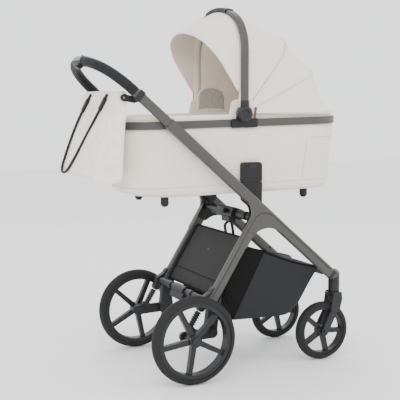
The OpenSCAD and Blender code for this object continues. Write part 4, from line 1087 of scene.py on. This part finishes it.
# Flap line on the cot's wall, down the sides and round the foot end, and the seam above the bottom
FLAP_X, FLAP_Z, FLAP_RUN = 252, -58, (-19, -141)
flap = [tub_side(FLAP_X + FLAP_RUN[0] * k, FLAP_Z + FLAP_RUN[1] * k, 0.5) for k in np.linspace(0, 1, 24)]
ring = [p for p in even(tub_row(FLAP_Z, -0.5, 0), 400, True) if p[0] > FLAP_X]
ring.sort(key=lambda p: math.atan2(p[1], p[0] - 200))
low_ring = even(tub_row(BOTTOM + 34, -0.4, 0), 400, True)
ribbon("cot_flap_seam_side", flap, 0.0018, 0.0012, "thread", "cot")
ribbon("cot_flap_seam_end", [cot(*p) for p in ring], 0.0018, 0.0012, "thread", "cot", side=(0, 0, 1))
ribbon("cot_flap_seam_far", [(x, -y, z) for x, y, z in flap], 0.0018, 0.0012, "thread", "cot")
ribbon("cot_base_seam", [cot(*p) for p in low_ring], 0.0014, 0.001, "thread", "cot", side=(0, 0, 1), closed=True)

# Fine radial ribs on the rims' inner faces
RIBS, RIB_RADII, REAR_R = 84, (113.5, 123.5), 145
RIB_SECTION = ((-1.1, 245.2), (-0.7, 244.1), (0.7, 244.1), (1.1, 245.2))
# three long faces, two ends and the back
RIB_FACES = [(i, i + 1, i + 5, i + 4) for i in range(3)] + [(0, 1, 2, 3), (7, 6, 5, 4), (0, 4, 7, 3)]
for s, tag in SIDES:
    pts, faces = [], []
    for a in (2 * math.pi * k / RIBS for k in range(RIBS)):
        d, e = polar(a), polar(a + math.pi / 2)
        faces += [tuple(len(pts) + i for i in f) for f in RIB_FACES]
        pts += [flat(d * r + e * w + (0, REAR_R), s * y) for r in RIB_RADII for w, y in RIB_SECTION]
    piece(f"rim_ribs_{tag}", pts, faces, "black_plastic", f"rear_wheel_{tag}", smooth=False)

# Inlays in the adapters' slots, and feet that bring the sockets' lower corners down to the adapters' outline
ADAPTER_X, ADAPTER_FACE, SLOT_Z, SOCKET_LOW, FOOT_R = 248, 185.1, 590, 640.5, 10
SQUARE = ((-1, -1), (1, -1), (1, 1), (-1, 1))
inlay = rounded_outline([((ADAPTER_X + u * 9.8, SLOT_Z + w * 24.8), 7.8) for u, w in SQUARE])
for s, tag in SIDES:
    slab(f"adapter_inlay_{tag}", inlay, s * 169, s * ADAPTER_FACE, "black_plastic", "chassis")
    for end, u in (("rear", -1), ("front", 1)):
        # square outer corner, and an inner curve just clear of the socket's
        edge, floor_z = ADAPTER_X + u * 37, SOCKET_LOW + 0.2
        foot = corner((edge - u * 40, floor_z), (edge, floor_z), (edge, floor_z + 40), 3.5, 5)
        foot += [(edge + u * (0.1 - FOOT_R * (1 - math.sin(a))), SOCKET_LOW - 0.1 + FOOT_R * (1 - math.cos(a)))
                 for a in np.radians(np.linspace(84, 6, 9))]
        slab(f"socket_foot_{end}_{tag}", foot, s * 167.4, s * 184.6, "black_plastic", "cot")

# Silver plate let into the console's upper face
CONSOLE, PLATE_N, PLATE_M = (-285.6, 1037.7), 15, 21
skin = BVHTree.FromObject(NODES["handle_console"], bpy.context.evaluated_depsgraph_get())
pts = []
for proud in (0.0007, -0.0006):
    for y in np.linspace(-41, 36, PLATE_M):
        for a in np.radians(np.linspace(116, 176, PLATE_N)):
            d = Vector((math.cos(a), 0, math.sin(a)))
            hit = skin.ray_cast(flat(CONSOLE, y) + d * 0.06, -d)[0]
            pts.append((hit or flat(CONSOLE, y) + d * 0.0175) + d * proud)
piece("console_plate", pts, shell(PLATE_M, PLATE_N), "console_silver", "handle")
